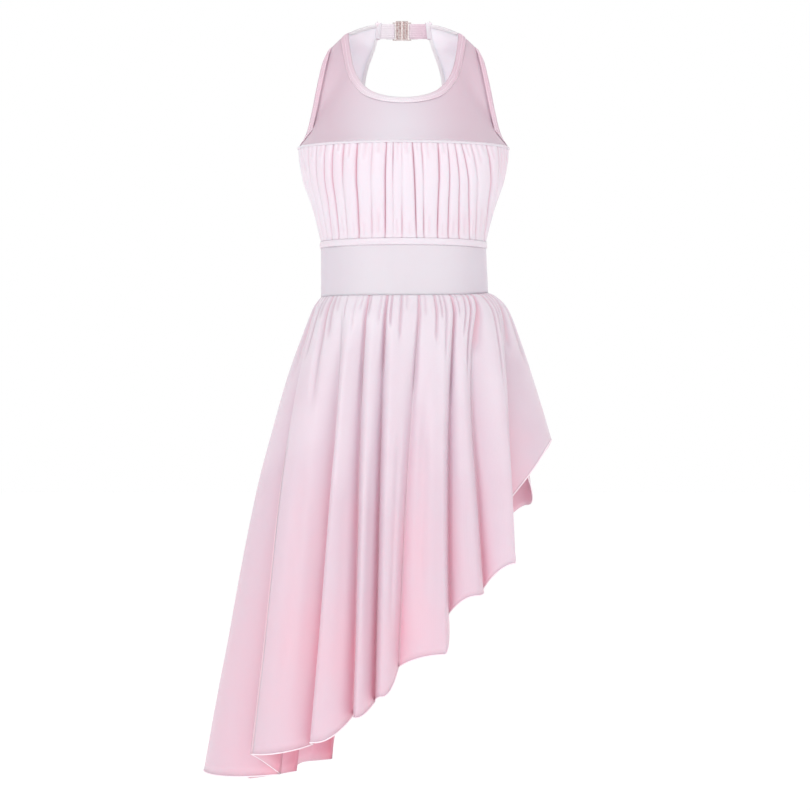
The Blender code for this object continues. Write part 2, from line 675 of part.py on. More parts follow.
def build_clasp_half(name, side):
    """A plated body with a frame at its outer end, whose slot takes the elastic."""
    inner_x = CLASP_CENTRE_X + side * CLASP_PARTING / 2.0
    body_x = inner_x + side * CLASP_BODY_LENGTH / 2.0
    outer_x = CLASP_CENTRE_X + side * CLASP_HALF_LENGTH
    frame_start = inner_x + side * (CLASP_BODY_LENGTH - CLASP_FRAME_LAP)
    frame_length = abs(outer_x - frame_start)
    frame_x = (frame_start + outer_x) / 2.0
    slot_x = outer_x - side * (CLASP_BAR + CLASP_SLOT / 2.0)
    body = block(
        name,
        (CLASP_BODY_LENGTH, CLASP_BODY_THICKNESS, CLASP_BODY_HEIGHT),
        (body_x, 0.0, CLASP_RISE),
        CLASP_EDGE,
    )
    frame = block(
        name + " frame",
        (frame_length, CLASP_FRAME_THICKNESS, CLASP_FRAME_HEIGHT),
        (frame_x, 0.0, 0.0),
        0.0,
        hidden=True,
    )
    slot = block(
        name + " slot",
        (CLASP_SLOT, CLASP_BODY_THICKNESS * 2.0, CLASP_SLOT_HEIGHT),
        (slot_x, 0.0, 0.0),
        0.0,
        hidden=True,
    )
    for cutter, operation in ((frame, "UNION"), (slot, "DIFFERENCE")):
        cut = body.modifiers.new(cutter.name, "BOOLEAN")
        cut.operation = operation
        cut.solver = "EXACT"
        cut.object = cutter


def build_nape_strap():
    for name, side in (("left", 1.0), ("right", -1.0)):
        build_clasp_half("clasp_" + name, side)
        build_elastic("neck_elastic_" + name, side, CLASP_CENTRE_X + side * CLASP_HALF_LENGTH)


for old in list(bpy.data.objects):
    bpy.data.objects.remove(old, do_unlink=True)
GARMENT = bpy.data.collections.new("Ballet leotard dress")
CUTTERS = bpy.data.collections.new("Cutters")
bpy.context.scene.collection.children.link(GARMENT)
bpy.context.scene.collection.children.link(CUTTERS)

build_bodice()
build_bust()
build_waistband()
build_skirt()
build_brief()
build_nape_strap()
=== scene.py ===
# Looks of a girl's ballet leotard dress: satin knit panels, turned hems with their stitching,
# gathered bust and skirt, ribbed nape elastics and a plated clasp set with stones.
# Sizes and tables are in millimetres unless a name says otherwise. +Z is up, the front faces
# -Y and the wearer's left is +X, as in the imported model.
import math
from collections import namedtuple

import bmesh
import bpy
from mathutils import Matrix, Vector


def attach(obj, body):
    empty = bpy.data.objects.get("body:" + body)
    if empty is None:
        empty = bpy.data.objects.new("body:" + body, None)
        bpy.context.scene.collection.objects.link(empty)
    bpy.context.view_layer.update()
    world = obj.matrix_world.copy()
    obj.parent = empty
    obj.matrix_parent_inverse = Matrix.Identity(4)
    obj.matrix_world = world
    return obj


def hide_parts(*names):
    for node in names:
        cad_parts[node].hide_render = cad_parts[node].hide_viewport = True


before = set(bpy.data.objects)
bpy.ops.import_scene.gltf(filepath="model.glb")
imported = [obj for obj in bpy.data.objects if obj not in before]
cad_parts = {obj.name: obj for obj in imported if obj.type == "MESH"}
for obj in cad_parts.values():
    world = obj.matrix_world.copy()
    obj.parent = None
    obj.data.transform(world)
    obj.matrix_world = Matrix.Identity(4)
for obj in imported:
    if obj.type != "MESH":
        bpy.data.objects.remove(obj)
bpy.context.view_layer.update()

MM = 0.001

# Cloth
CLOTH = 1.0
HEM_CLOTH = 0.7
BODY_CENTRE_Y = -70.0

# Heights of the cross seams
BUST_SEAM = -158.2
WAIST_SEAM = -275.2
SKIRT_SEAM = -341.4
CROTCH = -553.0

# The body form that the bodice and the waistband are cut to
TorsoRing = namedtuple("TorsoRing", "height half_width half_depth centre")
TORSO_RINGS = (
    TorsoRing(-158.0, 131.5, 84.0, -72.0),
    TorsoRing(-176.0, 129.6, 88.0, -72.0),
    TorsoRing(-203.0, 124.0, 88.0, -71.5),
    TorsoRing(-229.0, 114.7, 85.0, -71.0),
    TorsoRing(-264.0, 105.0, 79.5, -70.0),
    TorsoRing(-275.0, 103.4, 78.0, -70.0),
    TorsoRing(-560.0, 103.4, 78.0, -70.0),
)

# Turned hems
NECK_HEM = 10.0
EDGE_HEM = 7.5
HEM_LIFT = 0.15
HEM_CROWN = 0.8
HEM_ROWS = 5
TURNED_SHARE = 0.6  # how much of the hem's width shows on the wrong side
TURNED_CLOTH = 0.4
TURNING_PUFF = 0.3
# Share of the yoke's painted shade that the hems take
HEM_SHADE = 0.9
EDGE_ZIGZAG = 24.0
EDGE_PROBE = 0.02  # share of a line across a panel that shows its direction at the edge

# Gathers of the bust panel: each valley's angle round the body at the top and at the bottom,
# how far it dips at the top, halfway and at the bottom, and the ridge that follows it
Gather = namedtuple("Gather", "top_angle low_angle top_dip middle_dip low_dip ridge")
BUST_GATHERS = (
    Gather(-90.0, -90.0, 1.0, 1.0, 1.0, 1.0),
    Gather(-76.0, -79.0, 2.0, 0.5, 2.0, 1.4),
    Gather(-63.0, -72.0, 1.5, 0.4, 2.2, 1.8),
    Gather(-54.0, -66.0, 1.8, 0.3, 1.0, 1.4),
    Gather(-46.5, -59.0, 3.0, 4.6, 4.5, 1.6),
    Gather(-40.8, -50.7, 4.5, 4.6, 4.4, 1.4),
    Gather(-33.6, -42.0, 3.6, 0.5, 1.2, 1.8),
    Gather(-25.3, -32.1, 4.6, 4.8, 4.6, 1.9),
    Gather(-16.5, -22.0, 1.4, 0.3, 1.6, 1.9),
    Gather(-8.9, -12.6, 4.6, 5.0, 4.6, 1.2),
    Gather(-5.4, -7.0, 3.2, 0.8, 0.7, 1.0),
    Gather(-0.8, -1.0, 1.0, 0.2, 2.6, 1.8),
    Gather(4.7, 9.1, 4.6, 4.6, 4.0, 1.3),
    Gather(9.4, 14.1, 2.6, 0.7, 3.2, 1.7),
    Gather(18.8, 24.1, 4.2, 4.0, 4.0, 1.5),
    Gather(24.1, 32.4, 2.6, 4.0, 4.4, 1.0),
    Gather(28.4, 42.0, 4.0, 3.6, 4.2, 1.0),
    Gather(32.3, 53.0, 4.4, 4.6, 4.0, 1.5),
    Gather(38.5, 60.0, 1.8, 0.4, 2.8, 1.8),
    Gather(50.7, 78.0, 3.2, 6.0, 4.6, 2.0),
    Gather(62.0, 82.0, 2.4, 0.6, 1.6, 1.6),
    Gather(78.0, 86.0, 2.2, 0.8, 1.4, 1.2),
    Gather(90.0, 90.0, 1.0, 1.0, 1.0, 0.0),
)
BUST_STEPS = 12
BUST_PANEL_ROWS = 46
BUST_PINCH = 0.45  # under 1 pinches the valleys and flattens the ridges
BUST_DIP = 0.7  # share of a gather's dip that the cloth takes between the seams
BUST_DIP_AT_SEAM = 0.35
BUST_DIP_RUN = 0.12  # share of the panel's height over which a dip gets its depth
BUST_RIDGE_AT_SEAM = 0.4
BUST_RIDGE_PACE = 6.0  # the ridges are full a sixth of the height from a seam
BUST_SHADE_PINCH = 2.5  # over 1 keeps the painted shade in the valleys
BUST_SHADE_DIP = 3.2  # a dip this deep has the deepest painted shade
BUST_CREASE_SHADE = 0.1

# A crease is a soft trough that follows the cloth: its place as an angle round the top of the
# panel, how far down it starts and ends, its half width as an angle, and how far it pulls the
# cloth in
Crease = namedtuple("Crease", "angle top low width deep")
BUST_CREASES = (
    Crease(-84.0, 0.0, 40.0, 1.4, 1.0),
    Crease(-70.0, 0.0, 34.0, 1.3, 1.2),
    Crease(-66.0, 70.0, 117.0, 1.6, 1.0),
    Crease(-58.5, 0.0, 20.0, 0.8, 1.1),
    Crease(-50.5, 0.0, 14.0, 0.8, 1.0),
    Crease(-44.0, 88.0, 117.0, 0.7, 1.0),
    Crease(-37.2, 0.0, 12.0, 0.7, 1.0),
    Crease(-36.6, 84.0, 117.0, 0.8, 1.0),
    Crease(-30.0, 0.0, 22.0, 0.8, 1.1),
    Crease(-28.5, 92.0, 117.0, 0.7, 0.9),
    Crease(-20.5, 0.0, 26.0, 0.9, 1.2),
    Crease(-21.5, 96.0, 117.0, 0.7, 1.1),
    Crease(-13.0, 0.0, 16.0, 0.7, 1.0),
    Crease(-12.6, 80.0, 117.0, 0.8, 1.4),
    Crease(-2.9, 0.0, 30.0, 0.8, 1.1),
    Crease(-3.4, 90.0, 117.0, 0.7, 1.1),
    Crease(1.8, 0.0, 18.0, 0.7, 1.1),
    Crease(2.4, 94.0, 117.0, 0.7, 1.0),
    Crease(7.0, 0.0, 14.0, 0.6, 0.9),
    Crease(12.6, 0.0, 24.0, 0.8, 1.2),
    Crease(13.0, 86.0, 117.0, 0.8, 1.2),
    Crease(16.0, 0.0, 12.0, 0.7, 0.9),
    Crease(21.5, 0.0, 16.0, 0.7, 1.0),
    Crease(21.2, 96.0, 117.0, 0.6, 0.9),
    Crease(26.2, 92.0, 117.0, 0.6, 1.1),
    Crease(30.4, 84.0, 117.0, 0.7, 1.2),
    Crease(35.2, 0.0, 22.0, 0.8, 1.2),
    Crease(35.6, 90.0, 117.0, 0.8, 1.3),
    Crease(42.7, 0.0, 28.0, 0.9, 1.3),
    Crease(43.0, 74.0, 117.0, 1.0, 1.5),
    Crease(46.6, 0.0, 12.0, 0.7, 1.0),
    Crease(47.0, 82.0, 117.0, 0.9, 1.4),
    Crease(55.0, 0.0, 20.0, 1.0, 1.2),
    Crease(66.5, 0.0, 44.0, 1.2, 1.5),
    Crease(71.5, 0.0, 52.0, 1.2, 1.6),
    Crease(84.0, 0.0, 36.0, 1.3, 1.0),
)

# Lines down the skirt, valley and ridge in turn: the angle round the body at the waist and
# far down, how soon it swings from one to the other, how far it stands out, and how far below
# the waistband its hem is
SkirtLine = namedtuple("SkirtLine", "waist_angle low_angle swing out hem")
FRONT_LINES = (
    SkirtLine(-90.0, -101.0, 70.0, -10.0, 592.0),
    SkirtLine(-84.0, -76.0, 200.0, 18.0, 590.0),
    SkirtLine(-76.0, -41.5, 220.0, -18.0, 582.0),
    SkirtLine(-68.5, -46.6, 220.0, 20.0, 556.0),
    SkirtLine(-43.5, -30.8, 80.0, -13.0, 543.0),
    SkirtLine(-36.0, -26.6, 90.0, 17.0, 537.0),
    SkirtLine(-24.5, -15.6, 260.0, -13.0, 506.0),
    SkirtLine(-17.6, -13.9, 170.0, 15.0, 507.0),
    SkirtLine(-10.9, -9.4, 300.0, -13.0, 490.0),
    SkirtLine(-4.8, -7.0, 300.0, 15.0, 482.0),
    SkirtLine(10.5, -3.6, 220.0, -9.0, 450.0),
    SkirtLine(24.0, 12.6, 120.0, 15.0, 433.0),
    SkirtLine(33.4, 15.6, 130.0, -12.0, 388.0),
    SkirtLine(42.2, 24.5, 60.0, 13.0, 365.0),
    SkirtLine(53.0, 30.5, 60.0, -14.0, 360.0),
    SkirtLine(59.5, 36.0, 170.0, 18.0, 328.0),
    SkirtLine(76.0, 36.5, 170.0, -14.0, 258.0),
    SkirtLine(84.0, 87.7, 200.0, 18.0, 181.0),
    SkirtLine(90.0, 116.0, 70.0, -16.0, 226.0),
)
BACK_LINES = (
    SkirtLine(90.0, 116.0, 70.0, -16.0, 226.0),
    SkirtLine(99.0, 127.0, 70.0, 12.0, 266.0),
    SkirtLine(110.0, 134.0, 70.0, -16.0, 288.0),
    SkirtLine(121.0, 140.0, 80.0, 16.0, 304.0),
    SkirtLine(131.0, 146.0, 90.0, -17.0, 324.0),
    SkirtLine(140.0, 150.0, 80.0, 18.0, 345.0),
    SkirtLine(151.0, 158.0, 70.0, -19.0, 372.0),
    SkirtLine(159.0, 164.0, 90.0, 17.0, 400.0),
    SkirtLine(170.0, 176.0, 80.0, -18.0, 430.0),
    SkirtLine(181.0, 186.0, 70.0, 18.0, 462.0),
    SkirtLine(190.0, 193.0, 80.0, -16.0, 500.0),
    SkirtLine(198.0, 199.0, 90.0, 16.0, 555.0),
    SkirtLine(209.0, 206.0, 70.0, -18.0, 604.0),
    SkirtLine(219.0, 210.3, 80.0, 15.0, 610.0),
    SkirtLine(228.0, 220.0, 70.0, -19.0, 616.0),
    SkirtLine(239.0, 228.4, 90.0, 20.0, 626.0),
    SkirtLine(249.0, 240.0, 80.0, -16.0, 614.0),
    SkirtLine(260.0, 250.0, 80.0, 16.0, 604.0),
    SkirtLine(270.0, 259.0, 70.0, -10.0, 592.0),
)
SKIRT_STEPS = 34
SKIRT_ROWS = 70
SKIRT_ROW_BUNCHING = 1.5  # over 1 sets the rows closer together towards the waist
SKIRT_PINCH = 0.85  # under 1 pinches the valleys and rounds the ridges
SKIRT_STAND = 1.8  # how far the gathered cloth stands off the waistband's seam
SEAM_STRIP = 3.0  # the drop over which it comes to stand off
FOLD_GROWTH = 200.0  # the drop over which the folds reach two thirds of their depth
CREASE_AT_SEAM = 0.45  # share of a crease's depth that is left where it is sewn in
CREASE_SEAM_RUN = 10.0  # the drop over which it gets its full depth

# Painted shade of the skirt, from 0 for its palest to 1 for its deepest
FOLD_RANGE = 40.0  # from the ridge that stands out most to a valley as deep
FOLD_SHADE = 0.6
FOLD_SHADE_PINCH = 1.9  # over 1 keeps the painted shade in the valleys
FOLD_SHADE_START = 90.0  # the drop over which the folds take on their painted shade
GATHER_SHADE = 0.18  # for each millimetre that a crease pulls in, at the waist
CREASE_SHADE_LOW = 0.03  # the same below the gathers
GATHER_RUN = 120.0
DOWNWARD_SHADE_RUN = 400.0  # the drop at which painted shade lower down brings the ridges to the middle colour
DOWNWARD_SHADE_PACE = 0.8

# How far the skirt stands out from the waist, by the drop below the waistband, at the
# wearer's right and left sides and before and behind
Flare = namedtuple("Flare", "drop right left middle")
SKIRT_FLARE = (
    Flare(0.0, 0.0, 0.0, 0.0),
    Flare(3.0, 0.5, 6.0, 1.0),
    Flare(12.0, 6.0, 17.0, 7.0),
    Flare(25.0, 10.5, 25.0, 16.0),
    Flare(50.0, 18.0, 33.5, 24.0),
    Flare(100.0, 33.0, 48.0, 38.0),
    Flare(176.0, 51.5, 68.0, 54.0),
    Flare(240.0, 66.5, 83.0, 67.0),
    Flare(351.0, 87.0, 101.0, 84.0),
    Flare(425.0, 99.5, 114.0, 95.0),
    Flare(500.0, 113.5, 128.0, 107.0),
    Flare(640.0, 138.0, 155.0, 129.0),
)
FLARE_FRONT = 0.68
FLARE_BACK = 0.85

# How far below its middle height the seam of waistband and skirt runs, by the angle round
SEAM_SAG = (
    (-90.0, 2.7), (-45.0, 3.2), (0.0, 3.5), (35.0, 2.5), (62.0, 0.0), (90.0, -3.0),
    (125.0, -2.0), (180.0, 1.0), (225.0, 2.5), (270.0, 2.7),
)
SAG_FADE = 60.0  # the drop over which the skirt evens the sag out
ROLLED_HEM = 0.8  # radius of the skirt's narrow rolled hem
CORD_SIDES = 8

# Gathers at the top of the skirt, then the long soft creases between the folds
FRONT_CREASES = (
    Crease(-87.0, 0.0, 60.0, 1.2, 2.0),
    Crease(-81.0, 0.0, 120.0, 1.5, 3.0),
    Crease(-72.5, 0.0, 46.0, 1.0, 2.6),
    Crease(-67.0, 0.0, 90.0, 1.1, 3.2),
    Crease(-62.9, 0.0, 30.0, 0.8, 2.4),
    Crease(-57.0, 0.0, 150.0, 1.5, 3.6),
    Crease(-51.9, 0.0, 60.0, 0.9, 3.2),
    Crease(-47.5, 0.0, 24.0, 0.8, 1.8),
    Crease(-41.0, 0.0, 36.0, 0.9, 1.6),
    Crease(-32.5, 0.0, 50.0, 0.9, 1.0),
    Crease(-28.0, 0.0, 20.0, 0.8, 1.4),
    Crease(-24.0, 0.0, 150.0, 1.1, 3.4),
    Crease(-21.8, 0.0, 30.0, 0.8, 2.0),
    Crease(-14.5, 0.0, 40.0, 0.9, 1.4),
    Crease(-10.9, 0.0, 110.0, 1.0, 3.4),
    Crease(-7.3, 0.0, 44.0, 0.8, 2.6),
    Crease(-1.1, 0.0, 64.0, 0.9, 3.0),
    Crease(2.6, 0.0, 22.0, 0.7, 1.2),
    Crease(10.5, 0.0, 140.0, 1.0, 3.4),
    Crease(14.4, 0.0, 30.0, 0.8, 1.4),
    Crease(21.1, 0.0, 66.0, 0.9, 3.4),
    Crease(24.4, 0.0, 34.0, 0.7, 2.2),
    Crease(27.4, 0.0, 90.0, 0.9, 2.0),
    Crease(33.4, 0.0, 150.0, 1.1, 3.6),
    Crease(37.0, 0.0, 30.0, 0.8, 1.6),
    Crease(43.0, 0.0, 56.0, 1.0, 2.2),
    Crease(47.5, 0.0, 110.0, 1.0, 3.4),
    Crease(53.5, 0.0, 80.0, 1.0, 3.6),
    Crease(62.5, 0.0, 120.0, 1.1, 3.4),
    Crease(67.5, 0.0, 54.0, 1.0, 3.0),
    Crease(72.0, 0.0, 130.0, 1.1, 3.6),
    Crease(77.5, 0.0, 76.0, 1.0, 3.2),
    Crease(82.0, 0.0, 100.0, 1.0, 3.0),
    Crease(86.5, 0.0, 56.0, 1.0, 2.4),
    Crease(-58.0, 170.0, 540.0, 3.4, 2.6),
    Crease(-50.0, 230.0, 520.0, 2.6, 1.6),
    Crease(-30.0, 200.0, 500.0, 2.0, 1.6),
    Crease(-14.5, 160.0, 460.0, 1.6, 1.6),
    Crease(1.0, 120.0, 440.0, 2.2, 2.2),
    Crease(17.0, 90.0, 430.0, 2.2, 3.0),
    Crease(66.0, 110.0, 330.0, 2.4, 3.0),
    Crease(79.0, 60.0, 210.0, 2.2, 2.4),
)
BACK_CREASES = (
    Crease(93.0, 0.0, 60.0, 1.0, 2.2),
    Crease(98.0, 0.0, 110.0, 1.1, 3.2),
    Crease(104.5, 0.0, 36.0, 0.9, 2.0),
    Crease(109.0, 0.0, 130.0, 1.2, 3.4),
    Crease(117.0, 0.0, 60.0, 1.0, 2.4),
    Crease(122.5, 0.0, 30.0, 0.8, 1.8),
    Crease(130.0, 0.0, 120.0, 1.1, 3.2),
    Crease(136.5, 0.0, 64.0, 0.9, 2.6),
    Crease(141.0, 0.0, 26.0, 0.8, 1.6),
    Crease(150.5, 0.0, 140.0, 1.2, 3.4),
    Crease(155.0, 0.0, 46.0, 0.9, 2.2),
    Crease(163.0, 0.0, 90.0, 1.0, 3.0),
    Crease(170.0, 0.0, 130.0, 1.1, 3.4),
    Crease(173.5, 0.0, 30.0, 0.8, 1.6),
    Crease(182.0, 0.0, 60.0, 0.9, 2.4),
    Crease(189.5, 0.0, 120.0, 1.1, 3.2),
    Crease(194.5, 0.0, 40.0, 0.9, 2.0),
    Crease(202.0, 0.0, 76.0, 1.0, 2.8),
    Crease(209.5, 0.0, 140.0, 1.2, 3.4),
    Crease(213.0, 0.0, 30.0, 0.8, 1.8),
    Crease(221.0, 0.0, 60.0, 1.0, 2.6),
    Crease(228.5, 0.0, 120.0, 1.1, 3.2),
    Crease(235.0, 0.0, 46.0, 0.9, 2.2),
    Crease(242.0, 0.0, 90.0, 1.0, 2.8),
    Crease(249.5, 0.0, 130.0, 1.2, 3.2),
    Crease(255.0, 0.0, 36.0, 0.9, 2.0),
    Crease(261.5, 0.0, 100.0, 1.0, 2.6),
    Crease(266.5, 0.0, 50.0, 1.0, 2.0),
    Crease(117.0, 90.0, 250.0, 2.6, 2.0),
    Crease(155.0, 160.0, 370.0, 2.8, 2.2),
    Crease(178.0, 190.0, 440.0, 3.0, 2.4),
    Crease(214.0, 220.0, 560.0, 3.0, 2.6),
    Crease(255.0, 240.0, 560.0, 3.0, 2.2),
)
CREASE_FADE = 0.3  # share of a crease's length over which it dies out
CREASE_REACH = 2.6  # half widths from its middle at which it is gone

# Waistband
WAIST_CASING = 8.5
CASING_CROWN = 1.3
CASING_OVERLAP = 1.0
CASING_DRAWN = 0.3
BUST_WELT = 3.4
BUST_WELT_RISE = 1.2
WELT_CROWN = 1.4
WELT_DRAWN = 0.25
STRIP_CLOTH = 0.7
STRIP_ROWS = 8
WAIST_COLUMNS = 120

# Brief
BRIEF_INSET = 2.1
BRIEF_RISE = 3.0
CROTCH_Y = -72.0

# Nape strap and clasp
ELASTIC = 1.2
ELASTIC_HEIGHT = 19.0
ELASTIC_RIBS = 7
RIB_DEPTH = 0.22
CLASP_CENTRE_X = -2.0
CLASP_HALF_LENGTH = 12.0
CLASP_BODY_HEIGHT = 25.0
CLASP_BODY_THICKNESS = 4.0
CLASP_FRAME_THICKNESS = 1.6
CLASP_BAR = 1.4
STRAP_END_X = 33.0
STRAP_END_GAP = 1.3
STRAP_TUCK = 2.0
STRAP_TAIL = 9.0
STRAP_SAG = 0.8
SAG_PLACE = 0.4
BAR_PLAY = 0.4
WRAP_STEPS = 12
ELASTIC_ROWS = 56
SELVEDGE = 0.06  # share of the elastic's height at each side
STRAP_END_CLOTH = 0.6
STRAP_END_ROWS = 12
STRAP_END_SLANT = 2.6
STRAP_END_TOP = 11.2
STRAP_END_HEIGHT = 21.4
STRAP_END_RIPPLE = 0.15
RIPPLE_PACE = 9.0

# Stitching
STITCH_LENGTH = 2.2
STITCH_PITCH = 3.1
STRAP_STITCH_PITCH = 2.6
STRAP_STITCH_STAND = 0.35
STITCH_RADIUS = 0.36


def between(start, end, share):
    return start + (end - start) * share


def soft_step(share):
    share = min(max(share, 0.0), 1.0)
    return share * share * (3.0 - 2.0 * share)


def mirrored(point):
    return Vector((-point.x, point.y, point.z))


def smooth_table(table, value):
    """Reads a table of (place, amount) along a smooth line through its rows."""
    last = len(table) - 2
    first = 0
    while first < last and value > table[first + 1][0]:
        first += 1
    slopes = []
    for row in (first, first + 1):
        before = table[max(row - 1, 0)]
        after = table[min(row + 1, len(table) - 1)]
        slopes.append((after[1] - before[1]) / (after[0] - before[0]))
    start, end = table[first], table[first + 1]
    gap = end[0] - start[0]
    share = (value - start[0]) / gap
    square = share * share
    cube = square * share
    return (
        start[1] * (2.0 * cube - 3.0 * square + 1.0)
        + slopes[0] * gap * (cube - 2.0 * square + share)
        + end[1] * (3.0 * square - 2.0 * cube)
        + slopes[1] * gap * (cube - square)
    )


# Materials


def linear_channel(value):
    if value <= 0.04045:
        return value / 12.92
    return ((value + 0.055) / 1.055) ** 2.4


def colour(sheet_hex):
    """An sRGB hex colour as Blender's linear one."""
    return [linear_channel(int(sheet_hex[at:at + 2], 16) / 255.0) for at in (0, 2, 4)] + [1.0]


def add_node(tree, kind, settings=None, values=None, links=None):
    """Adds a node with its settings, its sockets' values and the sockets that feed it."""
    node = tree.nodes.new(kind)
    for name, value in (settings or {}).items():
        setattr(node, name, value)
    for socket, value in (values or {}).items():
        node.inputs[socket].default_value = value
    for socket, source in (links or {}).items():
        tree.links.new(source, node.inputs[socket])
    return node


def start_material(name):
    material = bpy.data.materials.new(name)
    material.use_nodes = True
    return material, material.node_tree, material.node_tree.nodes["Principled BSDF"]


def wave_scale(spacing):
    """The Wave texture's scale that puts its bands so many millimetres apart."""
    return 2.0 * math.pi / (20.0 * spacing * MM)


MIDDLE_SHADE = 0.4  # where a cloth's middle colour, a painted shade, lies between its light and its deep one
# Patches a metre: slow changes of tone lie 90 mm apart and the grain of the knit 1.6 mm apart,
# which is coarser than on the real cloth so that it shows
TONE_PATCHES = 11.0
GRAIN_PATCHES = 620.0


def knit_cloth(name, light, deep, roughness, wale, wale_depth, sheen, middle=None):
    """Satin-faced knit: fine wales down the cloth, a slow change of tone, a soft low sheen.

    The sheet's shade attribute is painted shade: where the cloth lies deep in a fold or
    otherwise in shade, its colour is mixed towards the deep one, standing in for the dimmer,
    pinker light that comes back off more layers. The middle colour, if the cloth has one, lies
    MIDDLE_SHADE of the way to the deep one."""
    material, tree, shader = start_material(name)
    flat = add_node(tree, "ShaderNodeTexCoord")
    wales = add_node(
        tree, "ShaderNodeTexWave", {"bands_direction": "X"},
        {"Scale": wave_scale(wale), "Distortion": 1.2, "Detail": 2.0, "Detail Scale": 1.5},
        {"Vector": flat.outputs["UV"]},
    )
    tone = add_node(
        tree, "ShaderNodeTexNoise", {},
        {"Scale": TONE_PATCHES, "Detail": 2.0, "Roughness": 0.5},
        {"Vector": flat.outputs["Object"]},
    )
    grain = add_node(
        tree, "ShaderNodeTexNoise", {},
        {"Scale": GRAIN_PATCHES, "Detail": 3.0, "Roughness": 0.6},
        {"Vector": flat.outputs["Object"]},
    )
    mottle = add_node(
        tree, "ShaderNodeMath", {"operation": "MULTIPLY_ADD"}, {1: 0.3},
        {0: grain.outputs["Fac"], 2: tone.outputs["Fac"]},
    )
    shift = add_node(
        tree, "ShaderNodeMapRange", {}, {"From Min": 0.4, "From Max": 0.9, "To Max": 0.14},
        {"Value": mottle.outputs["Value"]},
    )
    shade = add_node(tree, "ShaderNodeAttribute", {"attribute_name": "shade"})
    total = add_node(
        tree, "ShaderNodeMath", {"operation": "ADD"}, {},
        {0: shade.outputs["Fac"], 1: shift.outputs["Result"]},
    )
    ramp = add_node(tree, "ShaderNodeValToRGB", {}, {}, {"Fac": total.outputs["Value"]})
    ramp.color_ramp.elements[0].color = colour(light)
    ramp.color_ramp.elements[1].color = colour(deep)
    if middle:
        ramp.color_ramp.elements.new(MIDDLE_SHADE).color = colour(middle)
    tree.links.new(ramp.outputs["Color"], shader.inputs["Base Color"])
    gloss = add_node(
        tree, "ShaderNodeMapRange", {}, {"To Min": roughness - 0.05, "To Max": roughness + 0.07},
        {"Value": grain.outputs["Fac"]},
    )
    tree.links.new(gloss.outputs["Result"], shader.inputs["Roughness"])
    rib = add_node(
        tree, "ShaderNodeBump", {}, {"Strength": 0.5, "Distance": wale_depth * MM},
        {"Height": wales.outputs["Fac"]},
    )
    rough = add_node(
        tree, "ShaderNodeBump", {}, {"Strength": 0.25, "Distance": wale_depth * MM},
        {"Height": grain.outputs["Fac"], "Normal": rib.outputs["Normal"]},
    )
    tree.links.new(rough.outputs["Normal"], shader.inputs["Normal"])
    shader.inputs["Subsurface Weight"].default_value = 0.3
    shader.inputs["Subsurface Radius"].default_value = (1.0, 0.5, 0.58)
    shader.inputs["Subsurface Scale"].default_value = 5.0 * MM
    shader.inputs["Sheen Weight"].default_value = sheen
    shader.inputs["Sheen Roughness"].default_value = 0.35
    shader.inputs["Sheen Tint"].default_value = colour("FFF4FA")
    return material


# Polyester and elastane satin knit in loose folds: pale pink, its shine spread out and soft.
# The wales are 0.5 mm apart on the real cloth and are drawn 1.6 mm apart so that they show.
# Its deep colour is painted shade in the valleys, its middle colour painted shade lower down the
# skirt
SKIRT_SATIN = knit_cloth(
    "satin knit in long folds", "E5D8E1", "EEB0BE", 0.38, 1.6, 0.05, 0.2, "D5BFCB"
)
# The same knit drawn up over the bust, painted paler than on the other pieces, as painted light
# for the most light that falls there
BUST_SATIN = knit_cloth("satin knit gathered", "E3D8E1", "DD97AB", 0.38, 1.6, 0.05, 0.2)
# The same knit stretched flat over the chest and back: mauve, with painted shade towards the
# shoulders that leaves it palest low in the middle
YOKE_SATIN = knit_cloth("satin knit stretched", "D5CDD5", "C8B3BE", 0.42, 1.6, 0.05, 0.2)
# The doubled knit of the waistband: pressed smooth, with a cool cast; its deep colour is painted
# shade towards the sides
BAND_SATIN = knit_cloth("satin knit doubled", "D6CDD4", "CEC2CE", 0.4, 1.6, 0.04, 0.2)
# Turned and cover-stitched edge: the same knit, slightly puffed and matter; its deep colour is
# painted shade, taken from the yoke's
HEM_SATIN = knit_cloth("satin knit hem", "EFE3EB", "D9B3C2", 0.5, 1.2, 0.06, 0.2)
# The same hem on the wrong side of the cloth, painted paler as painted light for what passes
# through
TURNING_SATIN = knit_cloth("satin knit turned in", "FFF3F8", "F2D5E0", 0.5, 1.2, 0.06, 0.2)
# The knit's wrong side: matt, with a faint lavender cast, painted paler as painted light for the
# light that reaches it inside the dress
INNER_SATIN = knit_cloth("satin knit wrong side", "FAF2FB", "E2CFDF", 0.6, 1.2, 0.08, 0.1)
# The wrong side of the skirt, painted pinker as painted light and shade from the layers before
# and behind it
SKIRT_INNER = knit_cloth("satin knit wrong side pink", "EFDCE6", "E598AA", 0.6, 1.2, 0.08, 0.1)


THREAD_TWISTS = 1800.0  # a metre


def sewing_thread():
    """Spun polyester thread: fine, twisted, a shade lighter than the cloth."""
    material, tree, shader = start_material("polyester thread")
    place = add_node(tree, "ShaderNodeTexCoord")
    twist = add_node(
        tree, "ShaderNodeTexNoise", {}, {"Scale": THREAD_TWISTS, "Detail": 2.0},
        {"Vector": place.outputs["Object"]},
    )
    ramp = add_node(tree, "ShaderNodeValToRGB", {}, {}, {"Fac": twist.outputs["Fac"]})
    ramp.color_ramp.elements[0].color = colour("F3DCE6")
    ramp.color_ramp.elements[1].color = colour("FDF3F8")
    tree.links.new(ramp.outputs["Color"], shader.inputs["Base Color"])
    shader.inputs["Roughness"].default_value = 0.6
    return material


THREAD = sewing_thread()


WEFT_SPACING = 0.9
STRAP_HALF = 0.02  # metres from the middle to where each elastic has its full painted tone, pale or in painted shade
